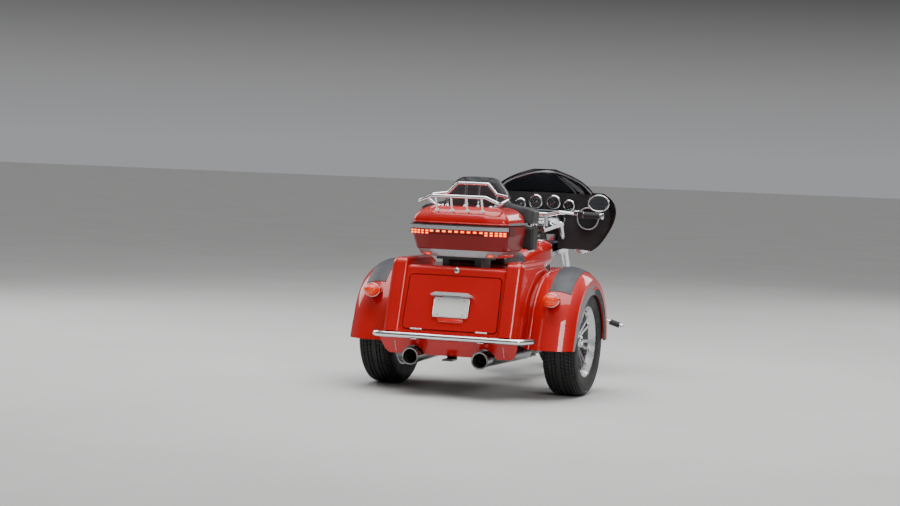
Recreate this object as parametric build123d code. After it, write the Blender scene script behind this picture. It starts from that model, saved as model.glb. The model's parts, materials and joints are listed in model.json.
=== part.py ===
from build123d import *
import math
import os

os.makedirs("parts", exist_ok=True)

# Touring trike, all sizes in millimetres
# +X is the vehicle's right, +Y its front, +Z up
# The origin is on the ground under the middle of the bounding box

# Overall size
FRONT_END_Y = 1335
REAR_END_Y = -1335
HALF_WIDTH = 695

# Wheels
FRONT_R = 320
FRONT_W = 130
FRONT_Y = FRONT_END_Y - FRONT_R
REAR_R = 325
REAR_W = 205
REAR_Y = -660
REAR_X = 577
RUNNING_GAP = 0.1

# Steering: the axis leans back, the fork tubes stand ahead of it
RAKE = 32
AXIS_FOOT_Y = 1115
FORK_OFFSET = 85
FORK_X = 118
FORK_TUBE_R = 24
SLIDER_R = 31
STEM_R = 16
HEAD_R = 34

# Rear body: its rear face leans forward as it rises
BODY_X = 405
FACE_Z = 350
FACE_Y = -1288
FACE_SLOPE = 0.3195
BODY_TOP = 760
SHOULDER_TOP = 800
SHOULDER_INNER_X = 303
SHOULDER_PROUD = 25
WALL = 6

# Load door, measured up the rear face from its foot
DOOR_LOW = 44
DOOR_HIGH = 370
DOOR_HALF = 288
DOOR_GAP = 6

# Fenders: an arched section swept about the rear axle, given at three places (x, radius)
FENDER_IN = (420, 399)
FENDER_CROWN = (552, 440)
FENDER_CREASE = (693, 371)
FENDER_T = 5
FENDER_FRONT = -92
FENDER_REAR = 70
FENDER_TAIL_Z = 298
BEAD_R = 11
ARCH_R = 282
ARCH_LEAVE = 52.6

# Top box: it is wider at its front end
BOX_BOTTOM = 818
BOX_RIM = 1004
BOX_FRONT = -858
LID_Z = 1009
LID_TOP = 1112


def axis_y(z):
    """Where the steering axis is, at a height."""
    return AXIS_FOOT_Y - z * math.tan(math.radians(RAKE))


def face_y(z):
    """Where the leaning rear face is, at a height."""
    return FACE_Y + FACE_SLOPE * (z - FACE_Z)


# Shared ways of making a shape
SKETCH_PLANES = {
    "x": Plane.YZ,
    "y": Plane(origin=(0, 0, 0), x_dir=(1, 0, 0), z_dir=(0, -1, 0)),
    "z": Plane.XY,
}
DIRECTIONS = {"x": Vector(1, 0, 0), "y": Vector(0, 1, 0), "z": Vector(0, 0, 1)}


def outline(points, corner=0):
    """A flat outline; corner is one radius for all corners, or a list with one for each."""
    if corner:
        return make_face(FilletPolyline(*points, radius=corner, close=True))
    return make_face(Polyline(*points, close=True))


def prism(points, axis, start, end, corner=0):
    """An outline in the other two coordinates, pushed along one axis."""
    face = SKETCH_PLANES[axis] * outline(points, corner)
    direction = DIRECTIONS[axis]
    return Location(direction * start) * extrude(face, end - start, dir=direction)


def block(low, high):
    """A box between two corners."""
    size = Vector(*high) - Vector(*low)
    middle = (Vector(*high) + Vector(*low)) * 0.5
    return Location(middle) * Box(size.X, size.Y, size.Z)


def rod(start, end, radius, end_radius=None):
    """A round bar between two points, straight or tapered."""
    axis = Vector(*end) - Vector(*start)
    plane = Plane(origin=start, z_dir=axis)
    if end_radius is None:
        return extrude(plane * Circle(radius), axis.length, dir=axis.normalized())
    return loft([plane * Circle(radius), plane.offset(axis.length) * Circle(end_radius)])


def pipe(points, bend, radius, bore=0):
    """A round tube along straight runs joined by arcs."""
    path = FilletPolyline(*points, radius=bend)
    section = Circle(radius) - Circle(bore) if bore else Circle(radius)
    return sweep(Plane(origin=path @ 0, z_dir=path % 0) * section, path=path)


def turned(face, centre_y, centre_z, start=0, turn=360):
    """A flat face in (x, radius) turned about a cross axis; angles run from the top to the rear."""
    axle = Axis((0, centre_y, centre_z), (1, 0, 0))
    standing = Location((0, centre_y, centre_z)) * (SKETCH_PLANES["y"] * face)
    return revolve(standing.rotate(axle, start), axle, turn)


def turned_lengthwise(points, origin, corner=0):
    """Points (radius, distance) turned about a line that runs forward from an origin."""
    face = Plane(origin=origin, x_dir=(1, 0, 0), z_dir=(0, 0, 1)) * outline(points, corner)
    return revolve(face, Axis(origin, (0, 1, 0)))


def softened(piece, radius, axis):
    """A prism along an axis with the edges round its end faces rounded."""
    return fillet(piece.edges() - piece.edges().filter_by(axis), radius)


def mirrored(piece):
    """The same piece on the other side of the vehicle."""
    return mirror(piece, about=Plane.YZ)


def pair(piece):
    """A right-hand piece with its left-hand twin."""
    return piece + mirrored(piece)


def save(**pieces):
    """Write each named piece to its own file."""
    for node, piece in pieces.items():
        export_step(piece, f"parts/{node}.step")


# Tyres and cast wheels
def tyre(centre_x, centre_y, radius, width, rim_radius):
    """A tyre with a flat crown, round shoulders and bulged walls, open towards the rim."""
    half = width / 2
    wall = radius - rim_radius

    def at(share_out, share_up):
        """A point by its share of the half width and of the wall's height."""
        return (share_out * half, rim_radius + share_up * wall)

    def bulge(end, widest):
        """The arc from a point to the wall's widest place, upright where it gets there."""
        rise = end[1] - widest[1]
        mid_x = (widest[0] ** 2 - end[0] ** 2 - rise**2) / (2 * (widest[0] - end[0]))
        bend = widest[0] - mid_x
        half_turn = math.atan2(rise, end[0] - mid_x) / 2
        middle = (mid_x + bend * math.cos(half_turn), widest[1] + bend * math.sin(half_turn))
        return ThreePointArc(end, middle, widest)

    crown, widest, bead = at(0.62, 1), at(1, 0.5), at(0.8, 0)
    lining_bead, lining_wide, lining_top = at(0.68, 0), at(0.88, 0.48), at(0.5, 0.88)
    right = [
        bulge(crown, widest),
        bulge(bead, widest),
        Line(bead, lining_bead),
        ThreePointArc(lining_bead, lining_wide, lining_top),
    ]
    left = [mirror(edge, about=Plane.YZ) for edge in right]
    flats = [Line((-end[0], end[1]), end) for end in (crown, lining_top)]
    face = Location((centre_x, 0, 0)) * make_face(right + left + flats)
    return turned(face, centre_y, radius)


def cast_wheel(centre_x, centre_y, radius, width, rim_radius, bore, pairs):
    """A rim barrel with two lips, a hub with a cap, and pairs of slim spokes dished outwards."""
    half = width / 2 * 0.84
    well = half * 0.55
    barrel_r = rim_radius - 22
    lip_r = rim_radius + 6
    wall = 7
    section = [
        (-half, lip_r),
        (-half, rim_radius - 6),
        (-well, barrel_r - 8),
        (well, barrel_r - 8),
        (half, rim_radius - 6),
        (half, lip_r),
        (half - wall, lip_r),
        (half - wall, rim_radius + 1),
        (well, barrel_r),
        (-well, barrel_r),
        (-half + wall, rim_radius + 1),
        (-half + wall, lip_r),
    ]
    wheel = turned(outline(section), centre_y, radius)
    hub_r = 46
    hub_out = half * 0.62
    hub = [
        (-hub_out, bore),
        (hub_out, bore),
        (hub_out, 30),
        (hub_out - 8, 40),
        (hub_out - 20, hub_r),
        (-hub_out, hub_r),
    ]
    wheel += turned(outline(hub), centre_y, radius)
    spoke_side = [(4, 38), (26, 38), (well + 12, barrel_r - 4), (well, barrel_r - 4)]
    spoke_front = [(-11, 30), (11, 30), (7, barrel_r), (-7, barrel_r)]
    side = prism(spoke_side, "y", -20, 20)
    spoke = side & prism(spoke_front, "x", 0, half)
    half_spread = 9
    for index in range(pairs):
        for lean in (-half_spread, half_spread):
            wheel += Location((0, centre_y, radius)) * spoke.rotate(Axis.X, 360 / pairs * index + lean)
    return Location((centre_x, 0, 0)) * wheel


REAR_RIM_R = 208
FRONT_RIM_R = 212
DISC_R = 145
DISC_X = 73
AXLE_R = 12.5
STUB_R = 25
rear_tyre = tyre(REAR_X, REAR_Y, REAR_R, REAR_W, REAR_RIM_R)
rear_rim = cast_wheel(REAR_X, REAR_Y, REAR_R, REAR_W, REAR_RIM_R, STUB_R, 7) - rear_tyre
front_tyre = tyre(0, FRONT_Y, FRONT_R, FRONT_W, FRONT_RIM_R)
front_rim = cast_wheel(0, FRONT_Y, FRONT_R, FRONT_W, FRONT_RIM_R, AXLE_R, 7) - front_tyre
disc_in, disc_out = DISC_X - 2.5, DISC_X + 2.5
disc_line = [(disc_in, 88), (disc_out, 88), (disc_out, DISC_R), (disc_in, DISC_R)]
disc = turned(outline(disc_line), FRONT_Y, FRONT_R)
carrier_line = [(30, AXLE_R), (36, AXLE_R), (disc_out, 90), (disc_in, 96), (30, 40)]
carrier = turned(outline(carrier_line), FRONT_Y, FRONT_R)
save(
    tyre_rear_right=rear_tyre,
    tyre_rear_left=mirrored(rear_tyre),
    wheel_rear_right=rear_rim,
    wheel_rear_left=mirrored(rear_rim),
    tyre_front=front_tyre,
    wheel_front=front_rim + pair(disc + carrier),
)


# Rear axle, swing arm and drive
PIVOT_Y = -168
PIVOT_Z = 330
PIVOT_R = 24
PULLEY_R = 80
BELT_LOW_X = -121
BELT_HIGH_X = -89
SPROCKET = (40, 370, 52)


def across(start_x, end_x, radius, y=REAR_Y, z=REAR_R):
    """A round bar across the vehicle."""
    return rod((start_x, y, z), (end_x, y, z), radius)


def rear_axle():
    """A cross tube with a centre case, a belt pulley and stub shafts that carry the wheels."""
    stub = across(-REAR_X + 30, REAR_X - 30, STUB_R - RUNNING_GAP)
    tube = across(-470, 470, 38)
    case_profile = [(-62, 0), (-62, 44), (-44, 72), (84, 72), (104, 44), (104, 0)]
    case = turned(outline(case_profile, [0, 8, 16, 16, 8, 0]), REAR_Y, REAR_R)
    rim_r = PULLEY_R + 6
    pulley = across(BELT_LOW_X - 4, BELT_HIGH_X + 4, rim_r)
    pulley -= across(BELT_LOW_X, BELT_HIGH_X, rim_r + 1) - across(BELT_LOW_X, BELT_HIGH_X, PULLEY_R)
    brake_discs = pair(across(446, 452, 118))
    return stub + tube + case + pulley + brake_discs


def hull_outline(first, second):
    """The outline of a belt round two discs, each given as (y, z, radius)."""
    discs = [Location((y, z, 0)) * Circle(r) for y, z, r in (first, second)]
    return make_hull([edge for disc in discs for edge in disc.edges()])


def drive_belt():
    """A belt's closed outline round the two pulleys."""
    thick = 5
    front_y, front_z, front_r = SPROCKET
    outer = hull_outline((front_y, front_z, front_r + thick), (REAR_Y, REAR_R, PULLEY_R + thick))
    inner = hull_outline(SPROCKET, (REAR_Y, REAR_R, PULLEY_R))
    band = extrude(Plane.YZ * (outer - inner), BELT_HIGH_X - BELT_LOW_X, dir=(1, 0, 0))
    return Location((BELT_LOW_X, 0, 0)) * band


def swing_arm():
    """Two arms from the frame's pivot to the axle, joined by the pivot tube."""
    arm = pipe([(202, PIVOT_Y, PIVOT_Z), (202, -330, PIVOT_Z), (230, REAR_Y + 10, REAR_R)], 120, 27)
    eye = across(174, 228, 34, PIVOT_Y, PIVOT_Z)
    pivot = across(-190, 190, PIVOT_R, PIVOT_Y, PIVOT_Z)
    return pair(arm + eye) + pivot - rear_axle()


arms = swing_arm()
save(rear_axle=rear_axle(), swing_arm=arms, drive_belt=drive_belt())


# Rear body with its load space
def body_profile(grow, top, front_step, foot=335):
    """The side outline (y, z) of the rear body, grown on its rear and top."""
    return [
        (face_y(foot) - grow, foot),
        (face_y(top) - grow, top),
        (-740, top),
        (-610 + front_step, 742),
        (-500 + front_step, 690),
        (-392 + front_step, 560),
        (-342 + front_step, 330),
        (-342 + front_step, 300),
        (-1200, foot - 35),
    ]


def shoulder(inset):
    """One raised shoulder: a soft inner edge, a wide round outer edge and a rounded top corner."""
    points = body_profile(SHOULDER_PROUD - inset, SHOULDER_TOP - inset, 4 - inset, 374 + inset)
    corners = [0, 46 - inset, 60, 60, 60, 60, 0, 0, 0]
    rounded = prism(points, "x", SHOULDER_INNER_X + inset, BODY_X - inset, corners)
    above_valance, behind_seat = 400, -480
    for side_x, radius in ((SHOULDER_INNER_X + inset, 15), (BODY_X - inset, 40)):
        side = rounded.edges().filter_by(lambda e: abs((e @ 0.5).X - side_x) < 0.01)
        rim = side.filter_by(lambda e: (e @ 0.5).Z > above_valance and (e @ 0.5).Y < behind_seat)
        rounded = fillet(rim, radius - inset)
    return rounded


def door_shape(gap, back, front):
    """The load door's outline grown by a gap, between two depths off the rear face."""
    points = [
        (-DOOR_HALF - gap, DOOR_LOW - gap),
        (DOOR_HALF + gap, DOOR_LOW - gap),
        (DOOR_HALF - 8 + gap, DOOR_HIGH + gap),
        (-DOOR_HALF + 8 - gap, DOOR_HIGH + gap),
    ]
    face = DOOR_PLANE.offset(back) * outline(points, 22 + gap)
    return extrude(face, front - back, dir=DOOR_PLANE.z_dir)


def trike_body():
    """A thin outer shell, a load tub with its rear opening, and flanges that carry the fenders."""
    core = prism(body_profile(0, BODY_TOP, 0), "x", -BODY_X + 20, BODY_X - 20, [0, 30, 0, 0, 0, 0, 0, 0, 0])
    outer = core + pair(shoulder(0))
    hollow = prism(body_profile(-WALL, BODY_TOP - WALL, -WALL), "x", -BODY_X + 26, BODY_X - 26)
    hollow += pair(shoulder(WALL))
    hollow += block((-BODY_X + WALL, -1210, 250), (BODY_X - WALL, -352, 340))
    tub = block((-296, -1320, 372), (296, -760, 718)) & outer
    space = block((-290, -1400, 378), (290, -766, 712))
    valance_side = [(-1286, 340), (-1236, 240), (-1230, 240), (-1280, 340)]
    valance_rear = [(-428, 345), (-400, 262), (-370, 236), (370, 236), (400, 262), (428, 345)]
    valance = prism(valance_side, "x", -428, 428)
    valance &= prism(valance_rear, "y", -1300, -1200, [0, 20, 20, 20, 20, 0])
    shell = outer - hollow + (tub - space) - door_shape(DOOR_GAP, -40, 60) + valance
    axle_way = across(-430, 430, 62) + block((-430, REAR_Y - 62, 200), (430, REAR_Y + 62, REAR_R))
    arm_way = block((-262, -460, 200), (262, -300, 425))
    rail_way = rod((150, -300, 640), (150, -760, 670), 24)
    pipe_way = rod((213, -1320, 235), (225, -1180, 235), 60)
    flange = pair(fender_sweep(outline([(401, 372), (422, 386), (422, 392), (401, 392)])))
    return shell + flange - axle_way - arm_way - pair(rail_way) - pair(pipe_way)


# Fenders with pads and arch trims
def arch_circle():
    """The circle through the section's three places: its centre (x, radius) and its own radius."""
    line = ThreePointArc(FENDER_IN, FENDER_CROWN, FENDER_CREASE)
    return line.arc_center.X, line.arc_center.Y, line.radius


ARCH_MID_X, ARCH_MID_R, ARCH_BEND = arch_circle()


def arch_height(x, offset=0):
    """How far from the axle the fender's skin is, at a place across it."""
    return ARCH_MID_R + math.sqrt((ARCH_BEND + offset) ** 2 - (x - ARCH_MID_X) ** 2)


def arch_band(low, high, low_x, high_x):
    """A curved strip of the fender's section between two offsets."""
    middle = (low_x + high_x) / 2
    places = (low_x, middle, high_x)
    outer = [(x, arch_height(x, high)) for x in places]
    inner = [(x, arch_height(x, low)) for x in places]
    edges = [
        ThreePointArc(*outer),
        Line(outer[2], inner[2]),
        ThreePointArc(*reversed(inner)),
        Line(inner[0], outer[0]),
    ]
    return make_face(edges)


def polar(radius, angle):
    """A point (y, z) about the rear axle, by an angle from the top to the rear."""
    turn = math.radians(angle)
    return (REAR_Y - radius * math.sin(turn), REAR_R + radius * math.cos(turn))


def fender_sweep(face, start=FENDER_FRONT):
    """A face in (x, radius) swept about the axle and then straight down the fender's tail."""
    axle = Axis((0, REAR_Y, REAR_R), (1, 0, 0))
    arch = turned(face, REAR_Y, REAR_R, start, FENDER_REAR - start)
    end = (Location((0, REAR_Y, REAR_R)) * (SKETCH_PLANES["y"] * face)).rotate(axle, FENDER_REAR)
    turn = math.radians(FENDER_REAR)
    tail = extrude(end, 300, dir=(0, -math.cos(turn), -math.sin(turn)))
    return arch + (tail - block((0, -1500, -300), (900, REAR_Y, FENDER_TAIL_Z)))


def side_plate(low_r, start_x, end_x):
    """The flat side of a fender, from the crease down to the wheel arch of a radius."""
    crease_r = FENDER_CREASE[1]
    leave_y, leave_z = polar(crease_r, FENDER_REAR)
    drop = (leave_z - FENDER_TAIL_Z) / math.tan(math.radians(FENDER_REAR))
    centre = Location((REAR_Y, REAR_R, 0))
    tail = [(REAR_Y, REAR_R), (leave_y, leave_z), (leave_y - drop, FENDER_TAIL_Z), (REAR_Y, FENDER_TAIL_Z)]
    whole = centre * Circle(crease_r) + outline(tail)
    arch_y, arch_z = polar(low_r, ARCH_LEAVE)
    run = (arch_z - 150) / math.tan(math.radians(ARCH_LEAVE))
    arch = centre * Circle(low_r)
    arch += outline([(REAR_Y, REAR_R), (arch_y, arch_z), (arch_y - run, 150), (REAR_Y, 150)])
    below = outline([(-1400, -100), (REAR_Y, -100), (REAR_Y, FENDER_TAIL_Z), (-1400, FENDER_TAIL_Z)])
    front_low = outline([(REAR_Y, -100), (0, -100), (0, 313), (REAR_Y, 313)])
    face = whole - arch - below - front_low
    return Location((start_x, 0, 0)) * extrude(Plane.YZ * face, end_x - start_x, dir=(1, 0, 0))


def fender():
    """The right fender: a swept arch with a rolled inner edge, a straight tail and a flat side."""
    in_x, in_r = FENDER_IN
    side_x = FENDER_CREASE[0]
    skin = fender_sweep(arch_band(-FENDER_T, 0, in_x + BEAD_R, side_x))
    bead = fender_sweep(Location((in_x + BEAD_R, arch_height(in_x + BEAD_R) - 2)) * Circle(BEAD_R))
    return skin + bead + side_plate(ARCH_R, side_x - FENDER_T, side_x)


def signal_parts():
    """The right turn signal: an amber lens on a smooth case let into the fender."""
    x, y, z = 555, -1092, 590
    case = Location((x, y, z)) * scale(Sphere(40), (1.3, 3.2, 1))
    lens = Location((x, y, z)) * scale(Sphere(38), (1.3, 1.2, 1))
    return (lens & block((480, -1200, 500), (640, y, 680))) + (case & block((480, y, 500), (640, -1008, 680)))


DOOR_PLANE = Plane(origin=(0, FACE_Y, FACE_Z), x_dir=(1, 0, 0), z_dir=(0, -1, FACE_SLOPE))
trunk_door = door_shape(0, -18, 3)
plate = extrude(DOOR_PLANE.offset(16) * Pos(0, 177) * RectangleRounded(210, 109, 8), 3)
plate_mount = extrude(DOOR_PLANE.offset(3) * Pos(0, 190) * RectangleRounded(120, 110, 8), 13)
lamp_bar = extrude(DOOR_PLANE.offset(3) * outline([(-141, 243), (141, 243), (100, 262), (-100, 262)], 4), 42)
plate_reflector = extrude(DOOR_PLANE.offset(3) * Pos(0, 104) * RectangleRounded(150, 22, 6), 9)
body = trike_body()
save(
    trike_body=body,
    trunk_door=trunk_door,
    number_plate=plate,
    plate_lamp=lamp_bar + plate_mount + plate_reflector,
)

right_fender = fender() - body
fender_core = turned(arch_band(-40, 0, FENDER_IN[0], FENDER_CREASE[0]), REAR_Y, REAR_R, 20, 50)
pad = turned(arch_band(0, 3, 512, 640), REAR_Y, REAR_R, -91, 91 + 45)
BAND_WIDTH = 52
band = side_plate(ARCH_R, FENDER_CREASE[0], HALF_WIDTH)
band -= side_plate(ARCH_R + BAND_WIDTH, FENDER_CREASE[0] - 5, HALF_WIDTH + 5)
save(
    fender_right=right_fender,
    fender_left=mirrored(right_fender),
    fender_trims=pair(pad + band),
    turn_signals=pair(signal_parts() - fender_core),
)


# Bumper, exhaust and tow bracket
BUMPER_Y = -1304
BUMPER_Z = 352
BUMPER_R = 17
bumper_line = [(-486, -1195), (-446, BUMPER_Y + 4), (446, BUMPER_Y + 4), (486, -1195)]
bumper = pipe([(x, y, BUMPER_Z) for x, y in bumper_line], 80, BUMPER_R)
for side in (-1, 1):
    bumper += block((side * 205 - 18, BUMPER_Y, 332), (side * 205 + 18, -1292.5, 345))
save(rear_bumper=bumper - body)

MUFFLER_R = 45
TIP_R = 51


def muffler():
    """The right silencer with its open flared tip."""
    can = rod((213, -1240, 235), (250, -560, 232), MUFFLER_R)
    tip_wall = [(TIP_R - 6, 0), (TIP_R, 0), (MUFFLER_R + 1, 110), (MUFFLER_R - 5, 110)]
    tip = turned_lengthwise(tip_wall, (213, REAR_END_Y, 235))
    inlet = rod((250, -562, 232), (215, -420, 235), 26)
    return can + tip + inlet


right_muffler = muffler()
HEADER_R = 22
# The front pipe, the rear pipe that joins it, and the pipe across to the left silencer
front_run = [
    (50, 320, 575),
    (110, 372, 560),
    (152, 365, 300),
    (169, 220, 232),
    (196, -300, 232),
    (215, -416, 235),
]
rear_run = [(50, 60, 575), (110, 5, 545), (152, 15, 330), (172, -70, 245), (190, -150, 232)]
cross_run = [(196, -300, 232), (100, -350, 205), (-110, -350, 205), (-205, -370, 232), (-215, -416, 235)]
headers = pipe(front_run, 30, HEADER_R) + pipe(rear_run, 30, HEADER_R) + pipe(cross_run, 20, HEADER_R)
hitch_side = [
    (-1290, 215),
    (-1290, 225),
    (-1200, 225),
    (-1180, 287),
    (-1100, 287),
    (-1100, 277),
    (-1173, 277),
    (-1192, 215),
]
hitch = prism(hitch_side, "x", -30, 30) + block((-30, -1105, 277), (30, REAR_Y - 60, 287))
hitch_hole = rod((0, -1262, 200), (0, -1262, 240), 9.6)
save(mufflers=pair(right_muffler), tow_bracket=hitch - hitch_hole - rear_axle())


# Frame with its steering head
head_axis = Vector(0, -math.sin(math.radians(RAKE)), math.cos(math.radians(RAKE)))
head_low = Vector(0, axis_y(800), 800)
head_high = head_low + head_axis * 160


def frame():
    """A double cradle, a backbone and rear rails."""
    head = rod(head_low, head_high, HEAD_R)
    head -= rod(head_low - head_axis, head_high + head_axis, STEM_R + RUNNING_GAP)
    cradle = [
        (26, 560, 850),
        (60, 520, 700),
        (135, 430, 215),
        (135, 300, 178),
        (135, -110, 178),
        (152, -190, 420),
        (150, -330, 640),
        (150, -748, 672),
    ]
    spine = pipe([(0, 520, 900), (0, 330, 745), (0, 60, 705), (0, -180, 640)], 60, 27)
    ties = [
        ((-150, -262, 540), (150, -262, 540), 16),
        ((-135, 40, 178), (135, 40, 178), 16),
        ((-150, -330, 640), (150, -330, 640), 16),
        ((0, -180, 640), (0, -330, 640), 20),
    ]
    pads = block((80, 180, 155), (160, 300, 166)) + block((80, -120, 155), (160, 0, 166))
    boss = across(128, 170, 36, PIVOT_Y, PIVOT_Z)
    tubes = head + pair(pipe(cradle, 50, 17) + boss + pads) + spine
    for start, end, radius in ties:
        tubes += rod(start, end, radius)
    return tubes - across(-200, 200, PIVOT_R, PIVOT_Y, PIVOT_Z)


frame_tubes = frame()
shock = rod((190, -560, 340), (152, -480, 645), 20) + rod((182, -543, 405), (157, -492, 600), 34)
save(frame=frame_tubes, rear_shocks=pair(shock - frame_tubes - arms))


# V-twin engine and drive train
CRANK_Y = 195
CRANK_Z = 360
V_HALF = 22.5


def barrel_plane(lean):
    """A plane square to one cylinder's line, at the crank."""
    turn = math.radians(lean)
    return Plane(origin=(0, CRANK_Y, CRANK_Z), x_dir=(1, 0, 0), z_dir=(0, math.sin(turn), math.cos(turn)))


def cylinder(lean):
    """One finned barrel and head, leaning from the crank."""
    plane = barrel_plane(lean)
    piece = extrude(plane.offset(90) * Circle(48), 190)
    for index in range(9):
        piece += extrude(plane.offset(112 + index * 11) * RectangleRounded(136, 122, 30), 5)
    for index in range(4):
        piece += extrude(plane.offset(216 + index * 13) * RectangleRounded(140, 128, 22), 7)
    return piece


def rocker_cover(lean):
    """A flanged, rounded cover on top of one head."""
    plane = barrel_plane(lean)
    flange = extrude(plane.offset(262) * RectangleRounded(132, 112, 26), 16)
    dome = extrude(plane.offset(270) * RectangleRounded(120, 94, 30), 40)
    return flange + fillet(dome.faces().sort_by(Axis.Z)[-1].edges(), 12)


def side_cover(points, start_x, end_x, corner, soft):
    """A cast cover: an outline pushed sideways, its outer rim rounded."""
    piece = prism(points, "x", start_x, end_x, corner)
    outer = end_x if abs(end_x) > abs(start_x) else start_x
    rim = piece.edges().filter_by(lambda e: abs((e @ 0.5).X - outer) < 0.01)
    return fillet(rim, soft)


case_points = [
    (330, 300),
    (330, 400),
    (270, 470),
    (120, 470),
    (0, 455),
    (-110, 440),
    (-110, 240),
    (0, 215),
    (240, 215),
]
primary_points = [
    (300, 330),
    (280, 425),
    (180, 450),
    (-20, 445),
    (-95, 400),
    (-95, 310),
    (-20, 262),
    (220, 262),
]
cam_points = [(280, 320), (250, 400), (190, 430), (130, 400), (110, 320), (130, 250), (250, 250)]
engine_case = prism(case_points, "x", -84, 95, 20)
primary = side_cover(primary_points, -175, -124, 34, 14) + across(-124, -84, 60, 230, 350)
cam_cover = side_cover(cam_points, 96, 128, 24, 9)
air_lid = across(100, 165, 80, 200, 575)
air_cleaner = fillet(air_lid.edges().sort_by(Axis.X)[-1], 20) + across(40, 101, 26, 200, 575)
barrels = cylinder(V_HALF) + cylinder(-V_HALF) - engine_case
pushrods = rod((90, 230, 440), (80, 262, 640), 10) + rod((90, 165, 440), (80, 128, 640), 10)
covers = rocker_cover(V_HALF) + rocker_cover(-V_HALF) + (pushrods - engine_case) - barrels
save(
    engine_case=engine_case,
    primary_cover=primary,
    cam_cover=cam_cover,
    cylinders=barrels,
    valve_covers=covers,
    air_cleaner=air_cleaner - barrels,
    exhaust_headers=headers - barrels - covers,
)


# Fuel tank, seat and side covers, each lofted along the vehicle
def lengthwise_loft(rows):
    """A smooth solid through rounded sections, given as (y, half width, low, high, corner)."""
    faces = []
    for y, half, low, high, corner in rows:
        section = Pos(0, (low + high) / 2) * RectangleRounded(2 * half, high - low, corner)
        faces.append(Plane(origin=(0, y, 0), x_dir=(1, 0, 0), z_dir=(0, -1, 0)) * section)
    return loft(faces)


# y, half width, low, high, corner
TANK_ROWS = [
    (500, 66, 742, 830, 30),
    (430, 112, 714, 868, 52),
    (290, 148, 694, 880, 66),
    (100, 140, 690, 858, 60),
    (-40, 86, 706, 792, 36),
]
SEAT_ROWS = [
    (-42, 70, 742, 790, 18),
    (-120, 118, 716, 766, 20),
    (-200, 154, 709, 756, 20),
    (-280, 178, 707, 760, 20),
    (-345, 186, 706, 786, 24),
    (-410, 190, 706, 826, 28),
    (-500, 190, 714, 844, 30),
    (-590, 190, 744, 848, 30),
    (-680, 187, 764, 848, 30),
    (-764, 172, 768, 838, 28),
]
tunnel = prism([(-100, 600), (-100, 772), (330, 778), (520, 934), (620, 934), (620, 600)], "x", -34, 34)
tank = lengthwise_loft(TANK_ROWS) - tunnel - frame_tubes
console_side = [(20, 700), (20, 862), (90, 880), (300, 898), (390, 888), (390, 700)]
console = prism(console_side, "x", -42, 42, [0, 10, 40, 40, 10, 0]) - tank - tunnel
seat = lengthwise_loft(SEAT_ROWS) - frame_tubes - body
cover_points = [(-140, 640), (-330, 690), (-390, 600), (-340, 440), (-200, 430)]
save(
    fuel_tank=tank,
    tank_console=console.solids().sort_by(Axis.Z)[-1],
    seat=seat,
    side_covers=pair(side_cover(cover_points, 172, 184, 22, 6)),
)


# Rider's equipment: boards, guards, pegs and pedals
board = prism([(185, 170), (305, 190), (305, 470), (185, 450)], "z", 262, 278, 24)
board_arm = rod((135, 432, 225), (195, 440, 264), 11)
rear_board = prism([(185, -260), (300, -250), (300, -100), (185, -100)], "z", 374, 388, 22)
rear_board_arm = rod((150, -178, 376), (192, -175, 381), 11)
guard_line = [
    (62, 510, 640),
    (250, 520, 640),
    (375, 560, 560),
    (375, 575, 400),
    (260, 540, 265),
    (128, 442, 265),
]
guard = pipe(guard_line, 50, 16) - frame_tubes
peg_arm = rod((375, 575, 388), (492, 575, 352), 9)
peg = rod((484, 575, 354), (560, 575, 331), 17) + Pos(566, 575, 329) * Sphere(15)
brake_pedal = pipe([(225, 225, 278), (225, 300, 322), (240, 430, 350)], 30, 8)
pedal_pad = block((215, 425, 340), (265, 455, 362))
save(
    floorboards=pair(board + board_arm + rear_board + rear_board_arm - frame_tubes),
    engine_guard=pair(guard),
    highway_pegs=pair(peg + peg_arm - guard),
    foot_controls=pair(brake_pedal + pedal_pad - board),
)


# Top box, its light bar, pods and backrest
# height, half width at the front, half width at the rear, rear y
BOX_ROWS = [
    (BOX_BOTTOM, 262, 236, -1143),
    (862, 306, 277, -1166),
    (954, 324, 298, -1192),
    (BOX_RIM, 325, 300, -1196),
]
# height, half width at the front, half width at the rear, rear y, front y
LID_ROWS = [
    (LID_Z, 318, 292, -1188, BOX_FRONT),
    (1056, 310, 283, -1178, BOX_FRONT - 3),
    (1094, 274, 244, -1140, BOX_FRONT - 18),
    (LID_TOP, 200, 172, -1070, BOX_FRONT - 52),
]
LIGHT_BAR_LOW = 946
LIGHT_BAR_HIGH = 994
LAMP_PITCH = 38


def box_plan(z, front_half, rear_half, rear, front, inset=0):
    """A plan outline at a height: square at the front, softly bowed round the rear."""
    side_x, corner_x, bow_x = front_half - inset, rear_half - inset, rear_half * 0.62
    rear_y, front_y = rear + inset, front - inset
    right = [(bow_x, rear_y), (corner_x, rear_y + 46), (side_x, front_y)]
    points = right + [(-x, y) for x, y in reversed(right)]
    return Plane.XY.offset(z) * outline(points, [90, 44, 30, 30, 44, 90])


def box_shell(inset):
    """The lower shell's outer form, or its hollow where there is an inset."""
    sections = []
    for z, front_half, rear_half, rear in BOX_ROWS:
        lift = inset if z == BOX_BOTTOM else math.copysign(1, inset) if inset and z == BOX_RIM else 0
        sections.append(box_plan(z + lift, front_half, rear_half, rear, BOX_FRONT, inset))
    return loft(sections, ruled=True)


def lid_shell(inset):
    """The lid's outer form, or its hollow where there is an inset."""
    sections = []
    for z, front_half, rear_half, rear, front in LID_ROWS:
        drop = 1 if inset and z == LID_Z else inset
        sections.append(box_plan(z - drop, front_half, rear_half, rear, front, inset))
    return loft(sections)


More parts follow.
